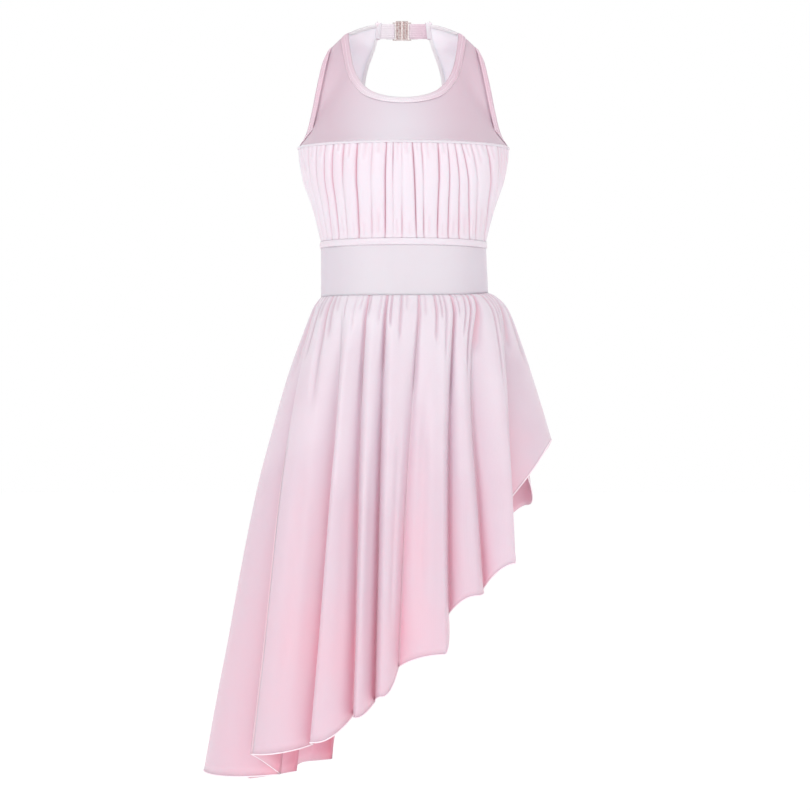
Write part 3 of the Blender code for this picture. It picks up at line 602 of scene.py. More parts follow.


def woven_elastic():
    """Flat woven elastic: close cross ribs of dyed polyester over rubber, satiny and firm.

    The one on the wearer's left is painted pinker, as painted shade."""
    material, tree, shader = start_material("woven elastic")
    flat = add_node(tree, "ShaderNodeTexCoord")
    weft = add_node(
        tree, "ShaderNodeTexWave", {"bands_direction": "X"},
        {"Scale": wave_scale(WEFT_SPACING), "Distortion": 0.3},
        {"Vector": flat.outputs["UV"]},
    )
    split = add_node(tree, "ShaderNodeSeparateXYZ", {}, {}, {"Vector": flat.outputs["Object"]})
    side = add_node(
        tree, "ShaderNodeMapRange", {}, {"From Min": -STRAP_HALF, "From Max": STRAP_HALF},
        {"Value": split.outputs["X"]},
    )
    ramp = add_node(tree, "ShaderNodeValToRGB", {}, {}, {"Fac": side.outputs["Result"]})
    # Painted shade: pale on the wearer's right, pinker on the wearer's left
    ramp.color_ramp.elements[0].color = colour("E4DCE2")
    ramp.color_ramp.elements[1].color = colour("DCC3CF")
    tree.links.new(ramp.outputs["Color"], shader.inputs["Base Color"])
    bump = add_node(
        tree, "ShaderNodeBump", {}, {"Strength": 0.6, "Distance": 0.12 * MM},
        {"Height": weft.outputs["Fac"]},
    )
    tree.links.new(bump.outputs["Normal"], shader.inputs["Normal"])
    shader.inputs["Roughness"].default_value = 0.5
    shader.inputs["Sheen Weight"].default_value = 0.15
    return material


ELASTIC_WEAVE = woven_elastic()


PITS = 700.0  # a metre


def plated_zinc():
    """Die-cast zinc with a nickel plate: bright silver, faintly rosy, softly pitted."""
    material, tree, shader = start_material("nickel plated zinc")
    place = add_node(tree, "ShaderNodeTexCoord")
    pits = add_node(
        tree, "ShaderNodeTexNoise", {}, {"Scale": PITS, "Detail": 3.0},
        {"Vector": place.outputs["Object"]},
    )
    ramp = add_node(tree, "ShaderNodeValToRGB", {}, {}, {"Fac": pits.outputs["Fac"]})
    ramp.color_ramp.elements[0].color = colour("BDAEAE")
    ramp.color_ramp.elements[1].color = colour("E3D8D6")
    tree.links.new(ramp.outputs["Color"], shader.inputs["Base Color"])
    gloss = add_node(
        tree, "ShaderNodeMapRange", {}, {"To Min": 0.18, "To Max": 0.34},
        {"Value": pits.outputs["Fac"]},
    )
    tree.links.new(gloss.outputs["Result"], shader.inputs["Roughness"])
    bump = add_node(
        tree, "ShaderNodeBump", {}, {"Strength": 0.3, "Distance": 0.1 * MM},
        {"Height": pits.outputs["Fac"]},
    )
    tree.links.new(bump.outputs["Normal"], shader.inputs["Normal"])
    shader.inputs["Metallic"].default_value = 1.0
    return material


PLATED_METAL = plated_zinc()


GLINT_PATCHES = 420.0  # painted glints a metre


def glass_stone():
    """Foiled glass stones with a rosy silver backing and painted glints: bright and dark patches
    over the facets.
    """
    material, tree, shader = start_material("foiled glass stone")
    place = add_node(tree, "ShaderNodeTexCoord")
    painted_glints = add_node(
        tree, "ShaderNodeTexVoronoi", {}, {"Scale": GLINT_PATCHES}, {"Vector": place.outputs["Object"]},
    )
    ramp = add_node(tree, "ShaderNodeValToRGB", {}, {}, {"Fac": painted_glints.outputs["Distance"]})
    ramp.color_ramp.elements[0].color = colour("EBDCDA")
    ramp.color_ramp.elements[1].color = colour("B59390")
    tree.links.new(ramp.outputs["Color"], shader.inputs["Base Color"])
    shader.inputs["Roughness"].default_value = 0.08
    shader.inputs["Metallic"].default_value = 0.85
    shader.inputs["Coat Weight"].default_value = 1.0
    return material


STONE = glass_stone()


# Pieces


def new_piece(name, mesh, *finishes):
    for finish in finishes:
        mesh.materials.append(finish)
    piece = bpy.data.objects.new(name, mesh)
    bpy.context.scene.collection.objects.link(piece)
    return piece


def wear(piece, slot, *nodes):
    """Puts a finished piece on the dress, in place of the plain solids that it stands for."""
    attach(piece, "root")
    if nodes:
        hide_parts(*nodes)
    return piece


def cloth_sheet(name, columns, finish, lining=None, thickness=CLOTH, offset=-1.0, shades=None):
    """A sheet through columns of points, shaped from a grid and thickened inwards.

    Its UV map is the cloth laid flat, in metres, so that the wales keep their size. shades
    is the painted shade at each point, from 0 to 1, such as how deep in a fold it lies."""
    last_column = len(columns) - 1
    last_row = len(columns[0]) - 1
    sheet = bmesh.new()
    flat = sheet.loops.layers.uv.new("flat cloth")
    shade = sheet.verts.layers.float.new("shade")
    bmesh.ops.create_grid(sheet, x_segments=last_column, y_segments=last_row, size=1.0)
    sheet.verts.index_update()
    place = {}
    for corner in sheet.verts:
        column = round((corner.co.x + 1.0) / 2.0 * last_column)
        row = round((corner.co.y + 1.0) / 2.0 * last_row)
        place[corner.index] = (column, row)
        corner.co = columns[column][row] * MM
        corner[shade] = shades[column][row] if shades else 0.0
    middle_row = last_row // 2
    across = [0.0]
    for before, after in zip(columns, columns[1:]):
        across.append(across[-1] + (after[middle_row] - before[middle_row]).length * MM)
    down = []
    for column in columns:
        lengths = [0.0]
        for before, after in zip(column, column[1:]):
            lengths.append(lengths[-1] + (after - before).length * MM)
        down.append(lengths)
    for face in sheet.faces:
        for loop in face.loops:
            column, row = place[loop.vert.index]
            loop[flat].uv = (across[column], down[column][row])
    sheet.normal_update()
    facing = 0.0
    for face in sheet.faces:
        middle = face.calc_center_median()
        away = Vector((middle.x, middle.y - BODY_CENTRE_Y * MM, 0.0))
        facing += face.normal.dot(away) * face.calc_area()
    if facing < 0.0:
        bmesh.ops.reverse_faces(sheet, faces=sheet.faces)
    mesh = bpy.data.meshes.new(name)
    sheet.to_mesh(mesh)
    sheet.free()
    mesh.shade_smooth()
    piece = new_piece(name, mesh, finish, lining or finish)
    wall = piece.modifiers.new("cloth thickness", "SOLIDIFY")
    wall.thickness = thickness * MM
    wall.offset = offset
    wall.material_offset = 1
    return piece


def outward_normals(columns):
    """The direction out of the cloth at each point of a panel."""
    last_column = len(columns) - 1
    last_row = len(columns[0]) - 1
    normals = []
    for place, column in enumerate(columns):
        ahead = columns[min(place + 1, last_column)]
        behind = columns[max(place - 1, 0)]
        line = []
        for row, point in enumerate(column):
            along = ahead[row] - behind[row]
            across = column[min(row + 1, last_row)] - column[max(row - 1, 0)]
            normal = along.cross(across).normalized()
            away = Vector((point.x, point.y - BODY_CENTRE_Y, 0.0))
            line.append(normal if normal.dot(away) > 0.0 else -normal)
        normals.append(line)
    return normals


def along_path(path, pitch):
    """Points at an even pitch along a path, each with its direction and its share."""
    lengths = [0.0]
    for before, after in zip(path, path[1:]):
        lengths.append(lengths[-1] + (after - before).length)
    count = max(int(lengths[-1] / pitch), 1)
    found = []
    first = 0
    for step in range(count):
        wanted = (step + 0.5) * lengths[-1] / count
        while lengths[first + 1] < wanted:
            first += 1
        share = (wanted - lengths[first]) / (lengths[first + 1] - lengths[first])
        start, end = path[first], path[first + 1]
        found.append((start.lerp(end, share), (end - start).normalized(), first, share))
    return found


def stitch_line(name, paths, normals, pitch=STITCH_PITCH, zigzag=0.0):
    """Rows of thread stitches lying on the cloth; zigzag turns every other one, in degrees."""
    stitches = bmesh.new()
    for path, facing in zip(paths, normals):
        for count, (point, along, first, share) in enumerate(along_path(path, pitch)):
            out = facing[first].lerp(facing[first + 1], share).normalized()
            side = out.cross(along).normalized()
            lean = math.radians(zigzag if count % 2 else -zigzag)
            along = along * math.cos(lean) + side * math.sin(lean)
            side = out.cross(along).normalized()
            turn = Matrix((along, side, out)).transposed().to_4x4()
            size = Matrix.Diagonal((STITCH_LENGTH / 2.0, STITCH_RADIUS, STITCH_RADIUS, 1.0))
            place = Matrix.Scale(MM, 4) @ Matrix.Translation(point) @ turn @ size
            bmesh.ops.create_uvsphere(
                stitches, u_segments=6, v_segments=4, radius=1.0, matrix=place
            )
    mesh = bpy.data.meshes.new(name)
    stitches.to_mesh(mesh)
    stitches.free()
    mesh.shade_smooth()
    return wear(new_piece(name, mesh, THREAD), "turned_hem")


def crease_depth(creases, angle, down):
    """How far the creases pull the cloth in, at an angle round the panel and a way down it."""
    total = 0.0
    for crease in creases:
        off = (angle - crease.angle) / crease.width
        if abs(off) > CREASE_REACH or not crease.top <= down <= crease.low:
            continue
        run = (down - crease.top) / (crease.low - crease.top)
        start = 1.0 if crease.top == 0.0 else soft_step(run / CREASE_FADE)
        end = soft_step((1.0 - run) / CREASE_FADE)
        total += crease.deep * start * end * math.exp(-off * off)
    return total


# Bodice


def torso_point(angle, height, out=0.0):
    """A point of the body form; angle 0 is the centre front and 90 the left side."""
    turn = math.radians(angle)
    half_width = smooth_table(WIDTHS, -height) + out
    half_depth = smooth_table(DEPTHS, -height) + out
    centre = smooth_table(CENTRES, -height)
    return Vector((half_width * math.sin(turn), centre - half_depth * math.cos(turn), height))


WIDTHS = [(-ring.height, ring.half_width) for ring in TORSO_RINGS]
DEPTHS = [(-ring.height, ring.half_depth) for ring in TORSO_RINGS]
CENTRES = [(-ring.height, ring.centre) for ring in TORSO_RINGS]

# A station is one line across a panel, from its inner edge to its outer edge, with how far
# the cloth bulges off the straight line halfway. The outer edge has a corner where cornered.
Station = namedtuple("Station", "inner outer bulge cornered")


def station(inner, outer, bulge=(0.0, 0.0, 0.0), cornered=False):
    return Station(Vector(inner), Vector(outer), Vector(bulge), cornered)


def both_sides(half):
    """The stations of a whole panel from those of its left half, centre first."""
    right = []
    for source in reversed(half[1:]):
        ends = (mirrored(source.inner), mirrored(source.outer), mirrored(source.bulge))
        right.append(Station(*ends, source.cornered))
    return right + list(half)


def smooth_curve(before, start, end, after, share):
    leave = (end - before) / 2.0
    arrive = (after - start) / 2.0
    square = share * share
    cube = square * share
    return (
        start * (2.0 * cube - 3.0 * square + 1.0)
        + leave * (cube - 2.0 * square + share)
        + end * (3.0 * square - 2.0 * cube)
        + arrive * (cube - square)
    )


def stretch_value(stations, first, share, name):
    """One of a station's points, read between station first and the next."""
    start = getattr(stations[first], name)
    end = getattr(stations[first + 1], name)
    before = start * 2.0 - end
    after = end * 2.0 - start
    splits = name == "outer"
    if first > 0 and not (splits and stations[first].cornered):
        before = getattr(stations[first - 1], name)
    if first + 2 < len(stations) and not (splits and stations[first + 1].cornered):
        after = getattr(stations[first + 2], name)
    return smooth_curve(before, start, end, after, share)


def lines_across(stations, per_gap):
    """Each fine line across a panel: its inner end, outer end and bulge."""
    lines = []
    for first in range(len(stations) - 1):
        last = first == len(stations) - 2
        for step in range(per_gap + (1 if last else 0)):
            share = step / per_gap
            lines.append([stretch_value(stations, first, share, name)
                          for name in ("inner", "outer", "bulge")])
    return lines


def chest_profile(inner, outer, bulge, share):
    """Eased so that the cloth turns straight down where it meets the bust seam."""
    point = inner.lerp(outer, share)
    quarter = share * math.pi / 2.0
    forward = outer.y < inner.y
    ease = math.sin(quarter) if forward else 1.0 - math.cos(quarter)
    point.y = between(inner.y, outer.y, ease)
    return point + bulge * (4.0 * share * (1.0 - share))


def back_profile(inner, outer, bulge, share):
    return inner.lerp(outer, share) + bulge * (4.0 * share * (1.0 - share))


def under_profile(inner, outer, bulge, share):
    """Straight down at the waist, then turned under to lie level at the crotch."""
    quarter = share * math.pi / 2.0
    point = inner.lerp(outer, math.sin(quarter))
    point.y = between(inner.y, outer.y, 1.0 - math.cos(quarter))
    return point + bulge * math.sin(share * math.pi)


def panel_columns(lines, profile, rows):
    return [[profile(*line, row / rows) for row in range(rows + 1)] for line in lines]


def eased(columns, rounds, rim):
    """The panel with its creases eased out, as cloth pulls itself; its rim stays put."""
    last_column = len(columns) - 1
    last_row = len(columns[0]) - 1
    columns = [list(column) for column in columns]
    for _ in range(rounds):
        for place in range(1, last_column):
            before, column, after = columns[place - 1:place + 2]
            for row in range(rim, last_row - rim + 1):
                near = before[row] + after[row] + column[row - 1] + column[row + 1]
                column[row] = near * 0.25
    return columns


def hem_columns(lines, profile, width, outer_edge):
    """The strip of a panel beside its inner or outer edge, as wide as the hem all along."""
    edge = 1.0 if outer_edge else 0.0
    probe = 1.0 - EDGE_PROBE if outer_edge else EDGE_PROBE
    corners = [profile(*line, edge) for line in lines]
    columns = []
    for place, line in enumerate(lines):
        along = corners[min(place + 1, len(lines) - 1)] - corners[max(place - 1, 0)]
        into = (profile(*line, probe) - corners[place]) / EDGE_PROBE
        across = into.cross(along.normalized()).length
        column = []
        for row in range(HEM_ROWS + 1):
            share = width / across * row / HEM_ROWS
            column.append(profile(*line, 1.0 - share if outer_edge else share))
        columns.append(column)
    return columns


def lifted(columns, height):
    """The columns moved out of the cloth; height reads the share across the strip."""
    last_row = len(columns[0]) - 1
    moved = []
    for column, normals in zip(columns, outward_normals(columns)):
        moved.append([point + out * height(row / last_row)
                      for row, (point, out) in enumerate(zip(column, normals))])
    return moved


def hem_height(share):
    """A turned hem is rounded at its edge and puffs a little between its stitch lines."""
    return HEM_LIFT + HEM_CROWN * (1.0 - (2.0 * share - 1.0) ** 4)


def turning_height(share):
    """The part of the hem turned to the wrong side of the cloth."""
    return -(CLOTH + TURNING_PUFF * hem_height(share))


def turned_hem(name, lines, profile, width, outer_edge, nodes, stitch_shares, zigzag=0.0):
    """A turned hem along the edge of a panel with its rows of stitching."""
    strip = hem_columns(lines, profile, width, outer_edge)
    # The hem takes on the yoke's painted shade
    painted_hem_shade = [[HEM_SHADE * yoke_shade(point) for point in column] for column in strip]
    hem = cloth_sheet(name, lifted(strip, hem_height), HEM_SATIN, INNER_SATIN, HEM_CLOTH,
                      shades=painted_hem_shade)
    wear(hem, "turned_hem", *nodes)
    inner_strip = hem_columns(lines, profile, width * TURNED_SHARE, outer_edge)
    turning = cloth_sheet(name + "_turning", lifted(inner_strip, turning_height), TURNING_SATIN,
                          thickness=TURNED_CLOTH)
    wear(turning, "turned_hem")
    normals = outward_normals(strip)
    paths = []
    facings = []
    for share in stitch_shares:
        row = min(int(share * HEM_ROWS), HEM_ROWS - 1)
        part = share * HEM_ROWS - row
        path = []
        facing = []
        for column, outs in zip(strip, normals):
            out = outs[row].lerp(outs[row + 1], part).normalized()
            path.append(column[row].lerp(column[row + 1], part) + out * hem_height(share))
            facing.append(out)
        paths.append(path)
        facings.append(facing)
    threads = stitch_line(name + "_stitches", paths, facings, zigzag=zigzag)
    return [hem, turning, threads]


YOKE_STEPS = 7
YOKE_ROWS = 26
YOKE_EASING = 75
EASED_RIM = 2  # rows beside each edge that stay where they are cut
UNDERARM_STATION = 6
SHOULDER_Y = -62.0


def yoke_stations():
    half = [
        station((0.0, -125.0, -101.0), torso_point(0.0, BUST_SEAM)),
        station((20.0, -123.5, -99.0), torso_point(15.0, BUST_SEAM)),
        station((37.0, -119.0, -93.5), torso_point(30.0, BUST_SEAM)),
        station((48.0, -113.0, -85.0), torso_point(47.0, BUST_SEAM), (0.0, -1.0, -2.0)),
        station((57.0, -105.0, -72.0), torso_point(64.0, BUST_SEAM), (2.0, -4.0, -6.0)),
        station((59.2, -102.0, -67.0), torso_point(77.0, BUST_SEAM), (5.0, -7.0, -10.5)),
        station((61.0, -99.0, -62.0), torso_point(90.0, BUST_SEAM), (9.0, -10.0, -16.0), True),
        station((63.5, -94.0, -54.0), (121.0, -86.0, -141.0), (4.0, -7.0, -16.0)),
        station((65.0, -88.0, -45.0), (114.0, -91.0, -115.0), (4.0, -6.0, -12.0)),
        station((66.5, -81.0, -35.0), (109.5, -91.0, -92.0), (2.0, -4.0, -8.0)),
        station((67.5, -75.0, -27.0), (105.5, -87.0, -72.0), (1.0, -3.0, -5.0)),
        station((68.5, -69.0, -19.0), (101.0, -77.0, -51.0), (0.5, -1.0, -1.0)),
        station((69.0, SHOULDER_Y, -12.0), (96.0, SHOULDER_Y, -37.0), (0.0, 0.0, 2.0)),
    ]
    return both_sides(half)


BACK_STEPS = 6
BACK_ROWS = 24
BACK_EASING = 6
BACK_SIDE_STATION = 7
BACK_SHOULDER_STATION = 13
BACK_NECK_STATION = 14


def back_stations():
    half = [
        station((0.0, 9.5, -235.0), torso_point(180.0, WAIST_SEAM)),
        station((18.0, 9.0, -231.0), torso_point(157.0, WAIST_SEAM), (1.0, 1.5, 0.0)),
        station((32.0, 6.5, -220.0), torso_point(134.0, WAIST_SEAM), (6.0, 8.0, 0.0)),
        station((36.8, 5.5, -213.5), torso_point(112.0, WAIST_SEAM), (11.5, 12.0, 0.0)),
        station((41.0, 4.5, -206.0), torso_point(90.0, WAIST_SEAM), (17.0, 15.0, 0.0), True),
        station((46.0, 3.5, -190.0), torso_point(90.0, -229.0), (17.0, 16.0, 0.0)),
        station((49.0, 3.5, -170.0), torso_point(90.0, -198.0), (16.0, 17.0, 0.0)),
        station((51.0, 3.5, -148.0), torso_point(90.0, BUST_SEAM), (14.0, 17.0, 0.0), True),
        station((52.0, 3.0, -126.0), (120.0, -54.0, -141.0), (11.0, 14.0, 0.0)),
        station((52.0, 2.5, -106.0), (112.0, -39.0, -114.0), (7.0, 10.0, 0.0)),
        station((51.0, 2.0, -86.0), (107.0, -34.0, -89.0), (6.0, 9.0, 2.0)),
        station((48.5, 1.5, -62.0), (104.0, -37.0, -68.0), (6.0, 9.0, 3.0)),
        station((45.0, 1.0, -46.0), (100.0, -46.0, -50.0), (7.0, 9.0, 4.0)),
        station((41.0, 0.8, -34.0), (96.0, SHOULDER_Y, -37.0), (8.0, 8.0, 5.0), True),
        station((37.5, 0.6, -23.0), (69.0, SHOULDER_Y, -12.0), (6.0, 5.0, 0.0), True),
        station((35.5, 0.6, -17.0), (57.0, -36.0, -2.5), (3.0, 4.0, 0.0)),
        station((34.0, 0.6, -12.5), (44.0, -12.0, 5.5), (1.0, 1.0, 0.0)),
        station((33.2, 0.6, -10.0), (33.6, 0.6, 9.5)),
    ]
    return both_sides(half)


YOKE_PALE_X = -8.0
YOKE_PALE_HEIGHT = -140.0
YOKE_FADE = 90.0
YOKE_SHADE_UP = 0.25
YOKE_SHADE_ASIDE = 0.85


def yoke_shade(point):
    """Painted shade, deepest towards the shoulders, where the cloth turns from the light and is
    stretched most.
    """
    up = soft_step((point.z - YOKE_PALE_HEIGHT) / YOKE_FADE)
    aside = soft_step(abs(point.x - YOKE_PALE_X) / YOKE_FADE)
    return min(YOKE_SHADE_UP * up + YOKE_SHADE_ASIDE * aside, 1.0)


def build_bodice():
    yoke_lines = lines_across(yoke_stations(), YOKE_STEPS)
    back_lines = lines_across(back_stations(), BACK_STEPS)
    yoke_points = panel_columns(yoke_lines, chest_profile, YOKE_ROWS)
    yoke_points = eased(yoke_points, YOKE_EASING, EASED_RIM)
    back_points = panel_columns(back_lines, back_profile, BACK_ROWS)
    back_points = eased(back_points, BACK_EASING, EASED_RIM)
    yoke_shades = [[yoke_shade(point) for point in column] for column in yoke_points]
    yoke = wear(
        cloth_sheet("yoke_cloth", yoke_points, YOKE_SATIN, INNER_SATIN, shades=yoke_shades),
        "satin_smooth", "yoke_front",
    )
    back = wear(
        cloth_sheet("back_cloth", back_points, YOKE_SATIN, INNER_SATIN),
        "satin_smooth", "back_panel",
    )
    neck_rows = (0.52, 0.93)
    edge_rows = (0.4, 0.85)
    on_yoke = turned_hem("neck_hem_front", yoke_lines, chest_profile, NECK_HEM, False,
                         ["neck_band_front"], neck_rows)
    on_back = turned_hem("keyhole_hem", back_lines, back_profile, EDGE_HEM, False,
                         ["keyhole_band"], edge_rows)
    yoke_end = len(yoke_lines) - 1
    back_end = len(back_lines) - 1
    underarm = yoke_end // 2 + UNDERARM_STATION * YOKE_STEPS
    side = back_end // 2 + BACK_SIDE_STATION * BACK_STEPS
    shoulder = back_end // 2 + BACK_SHOULDER_STATION * BACK_STEPS
    neck = back_end // 2 + BACK_NECK_STATION * BACK_STEPS
    spans = (
        ("armhole_hem_front", "armhole_band_front", yoke_lines, chest_profile, underarm,
         yoke_end, yoke_end),
        ("armhole_hem_back", "armhole_band_back", back_lines, back_profile, side, shoulder,
         back_end),
        ("neck_hem_back", "neck_band_back", back_lines, back_profile, neck, back_end, back_end),
    )
    for name, node, lines, profile, first, last, end in spans:
        hems = turned_hem(name + "_left", lines[first:last + 1], profile, EDGE_HEM, True,
                          [node + "_left"], edge_rows, zigzag=EDGE_ZIGZAG)
        hems += turned_hem(name + "_right", lines[end - last:end - first + 1], profile, EDGE_HEM,
                           True, [node + "_right"], edge_rows, zigzag=EDGE_ZIGZAG)
        if lines is yoke_lines:
            on_yoke += hems
        else:
            on_back += hems


def around(middle_angle, steps):
    """Even angles round half the body, from one side seam to the other."""
    return [middle_angle + between(-90.0, 90.0, step / steps) for step in range(steps + 1)]


def pucker(angle):
    """How sewing draws a seam in and out, in unequal steps round the body."""
    return 0.6 * math.sin(angle * 1.27) + 0.4 * math.sin(angle * 0.71 + 1.0)


EDGE_PACE = 1.6  # a strip's edges wander at a quicker pace than its crown


def seam_strip(name, middle_angle, top, width, crown, drawn):
    """A narrow rounded strip along a seam round half the body, from its top edge down."""
    columns = []
    for angle in around(middle_angle, WAIST_COLUMNS):
        column = []
        for step in range(STRIP_ROWS + 1):
            turn = math.pi * step / STRIP_ROWS
            down = width * (0.5 - 0.5 * math.cos(turn))
            height = top - down + drawn * pucker(angle * EDGE_PACE)
            out = crown * math.sin(turn) + drawn * pucker(angle)
            column.append(torso_point(angle, height, out))
        columns.append(column)
    strip = cloth_sheet(name, columns, BUST_SATIN, INNER_SATIN, STRIP_CLOTH)
    return wear(strip, "satin_smooth")


def rise(share, pinch):
    """The way up from a valley to a ridge: pinched at the valley, round at the ridge."""
    return math.sin(math.pi / 2.0 * min(max(share, 0.0), 1.0) ** pinch)


def build_bust():
    columns = []
    shades = []
    panel_height = BUST_SEAM - WAIST_SEAM
    for gather, following in zip(BUST_GATHERS, BUST_GATHERS[1:]):
        closing = following is BUST_GATHERS[-1]
        for step in range(BUST_STEPS + (1 if closing else 0)):
            share = step / BUST_STEPS
            nearer = gather if share < 0.5 else following
            up = rise(2.0 * min(share, 1.0 - share), BUST_PINCH)
            top = between(gather.top_angle, following.top_angle, share)
            low = between(gather.low_angle, following.low_angle, share)
            dips = (
                (0.0, nearer.top_dip * BUST_DIP_AT_SEAM),
                (BUST_DIP_RUN, nearer.top_dip * BUST_DIP),
                (0.5, nearer.middle_dip * BUST_DIP),
                (1.0 - BUST_DIP_RUN, nearer.low_dip * BUST_DIP),
                (1.0, nearer.low_dip * BUST_DIP_AT_SEAM),
            )
            column = []
            shade = []
            for row in range(BUST_PANEL_ROWS + 1):
                even = row / BUST_PANEL_ROWS
                fall = between(even, soft_step(even), 0.5)
                down = fall * panel_height
                dip = smooth_table(dips, fall)
                swell = soft_step(min(fall, 1.0 - fall) * BUST_RIDGE_PACE)
                ridge = gather.ridge * between(BUST_RIDGE_AT_SEAM, 1.0, swell)
                pulled = crease_depth(BUST_CREASES, top, down)
                out = between(-dip, ridge, up) - pulled
                column.append(torso_point(between(top, low, fall), BUST_SEAM - down, out))
                # Painted shade: deeper in the valleys and along the creases
                pinched = (1.0 - up) ** BUST_SHADE_PINCH * dip / BUST_SHADE_DIP
                shade.append(min(pinched + pulled * BUST_CREASE_SHADE, 1.0))
            columns.append(column)
            shades.append(shade)
    bust = cloth_sheet("bust_cloth", columns, BUST_SATIN, INNER_SATIN, shades=shades)
    wear(bust, "satin_gathered", "bust_front")
    welt = seam_strip("bust_welt", 0.0, BUST_SEAM + BUST_WELT_RISE, BUST_WELT, WELT_CROWN,
                      WELT_DRAWN)


BAND_ROWS = 20
BAND_SPREAD = 2.5  # how far the band's lower edge stands out at the wearer's left side
BAND_SPREAD_WIDTH = 32.0
LEFT_SIDE = 90.0
BAND_DRAWN = 0.2
BAND_DRAWN_TOP = 3.0  # how far from its upper seam the band is puckered
BAND_DRAWN_LOW = 4.0
BAND_SIDE_SHADE = 0.8
BAND_DEPTH_READ = 60.0  # the hollows run down the whole band, so they are read at one depth
BAND_HOLLOWS = (
    Crease(-58.0, 0.0, 200.0, 7.0, 0.9),
    Crease(-14.0, 20.0, 140.0, 16.0, 0.35),
    Crease(26.0, 20.0, 140.0, 14.0, 0.3),
    Crease(60.0, 0.0, 200.0, 8.0, 0.8),
    Crease(140.0, 0.0, 200.0, 10.0, 0.7),
    Crease(222.0, 0.0, 200.0, 12.0, 0.7),
)


def band_spread(angle):
    return BAND_SPREAD * soft_step(1.0 - abs(angle - LEFT_SIDE) / BAND_SPREAD_WIDTH)


def build_waistband():
    for name, middle_angle in (("front", 0.0), ("back", 180.0)):
        columns = []
        shades = []
        for angle in around(middle_angle, WAIST_COLUMNS):
            drawn = BAND_DRAWN * pucker(angle)
            hollow = crease_depth(BAND_HOLLOWS, angle, BAND_DEPTH_READ)
            top = WAIST_CASING - CASING_OVERLAP
            low = WAIST_SEAM - SKIRT_SEAM + smooth_table(SEAM_SAG, angle)
            column = []
            for step in range(BAND_ROWS + 1):
                down = between(top, low, step / BAND_ROWS)
                at_top = math.exp((top - down) / BAND_DRAWN_TOP)
                at_low = math.exp((down - low) / BAND_DRAWN_LOW)
                spread = band_spread(angle) * soft_step(down / low)
                out = drawn * (at_top + at_low) - hollow + spread
                column.append(torso_point(angle, WAIST_SEAM - down, out))
            columns.append(column)
            # Painted shade: the band deepens in tone towards its sides
            to_side = abs(angle - middle_angle) / 90.0
            shades.append([to_side ** 2 * BAND_SIDE_SHADE] * (BAND_ROWS + 1))
        band = cloth_sheet("waistband_cloth_" + name, columns, BAND_SATIN, INNER_SATIN,
                           shades=shades)
        wear(band, "satin_smooth", "waistband_" + name)
        casing = seam_strip("waist_casing_" + name, middle_angle, WAIST_SEAM, WAIST_CASING,
                            CASING_CROWN, CASING_DRAWN)


# Skirt


def skirt_point(waist_angle, low_angle, swing, fold, pulled, drop):
    """A point of the skirt, drop below the waistband."""
    waist = TORSO_RINGS[-1]
    grown = 1.0 - math.exp(-drop / FOLD_GROWTH)
    turn = math.radians(between(low_angle, waist_angle, math.exp(-drop / swing)))
    side = math.sin(turn)
    front = math.cos(turn)
    aside = smooth_table(LEFT_FLARE if side > 0.0 else RIGHT_FLARE, drop)
    middle = smooth_table(MIDDLE_FLARE, drop)
    sideways = between(middle, aside, abs(side))
    forwards = middle * between(FLARE_BACK, FLARE_FRONT, (1.0 + front) / 2.0)
    out = SKIRT_STAND * soft_step(drop / SEAM_STRIP) + fold * grown - pulled
    spread = band_spread(waist_angle) * math.exp(-drop / SAG_FADE)
    sag = smooth_table(SEAM_SAG, waist_angle) * math.exp(-drop / SAG_FADE)
    return Vector((
        (waist.half_width + sideways + out + spread) * side,
        waist.centre - (waist.half_depth + forwards + out) * front,
        SKIRT_SEAM - drop - sag,
    ))


RIGHT_FLARE = [(row.drop, row.right) for row in SKIRT_FLARE]
LEFT_FLARE = [(row.drop, row.left) for row in SKIRT_FLARE]
MIDDLE_FLARE = [(row.drop, row.middle) for row in SKIRT_FLARE]


def skirt_cloth(lines, creases):
    """Columns down the skirt, from each line to the next, and how deep in a fold they lie."""
    columns = []
    shades = []
    for count, (line, following) in enumerate(zip(lines, lines[1:])):
        closing = following is lines[-1]
        climbing = count % 2 == 0
        for step in range(SKIRT_STEPS // 2 + (1 if closing else 0)):
            share = step / (SKIRT_STEPS // 2)
            up = rise(share if climbing else 1.0 - share, SKIRT_PINCH)
            blend = up if climbing else 1.0 - up
            height = between(line.out, following.out, blend)
            hem = between(line.hem, following.hem, blend)
            waist_angle = between(line.waist_angle, following.waist_angle, share)
            low_angle = between(line.low_angle, following.low_angle, share)
            swing = between(line.swing, following.swing, share)
            column = []
            shade = []
            for row in range(SKIRT_ROWS + 1):
                drop = hem * (row / SKIRT_ROWS) ** SKIRT_ROW_BUNCHING
                pulled = crease_depth(creases, waist_angle, drop)
                at_seam = between(CREASE_AT_SEAM, 1.0, soft_step(drop / CREASE_SEAM_RUN))
                column.append(
                    skirt_point(waist_angle, low_angle, swing, height, pulled * at_seam, drop)
                )
                # Painted shade: deeper in the valleys, along the creases and lower down the
                # skirt
                deep = (0.5 - height / FOLD_RANGE) * (1.0 - math.exp(-drop / FOLD_SHADE_START))
                per_millimetre = between(GATHER_SHADE, CREASE_SHADE_LOW,
                                         soft_step(drop / GATHER_RUN))
                downward_shade = MIDDLE_SHADE * min(drop / DOWNWARD_SHADE_RUN, 1.0) ** DOWNWARD_SHADE_PACE
                tone = FOLD_SHADE * deep ** FOLD_SHADE_PINCH + pulled * per_millimetre + downward_shade
                shade.append(min(tone, 1.0))
            columns.append(column)
            shades.append(shade)
    return columns, shades


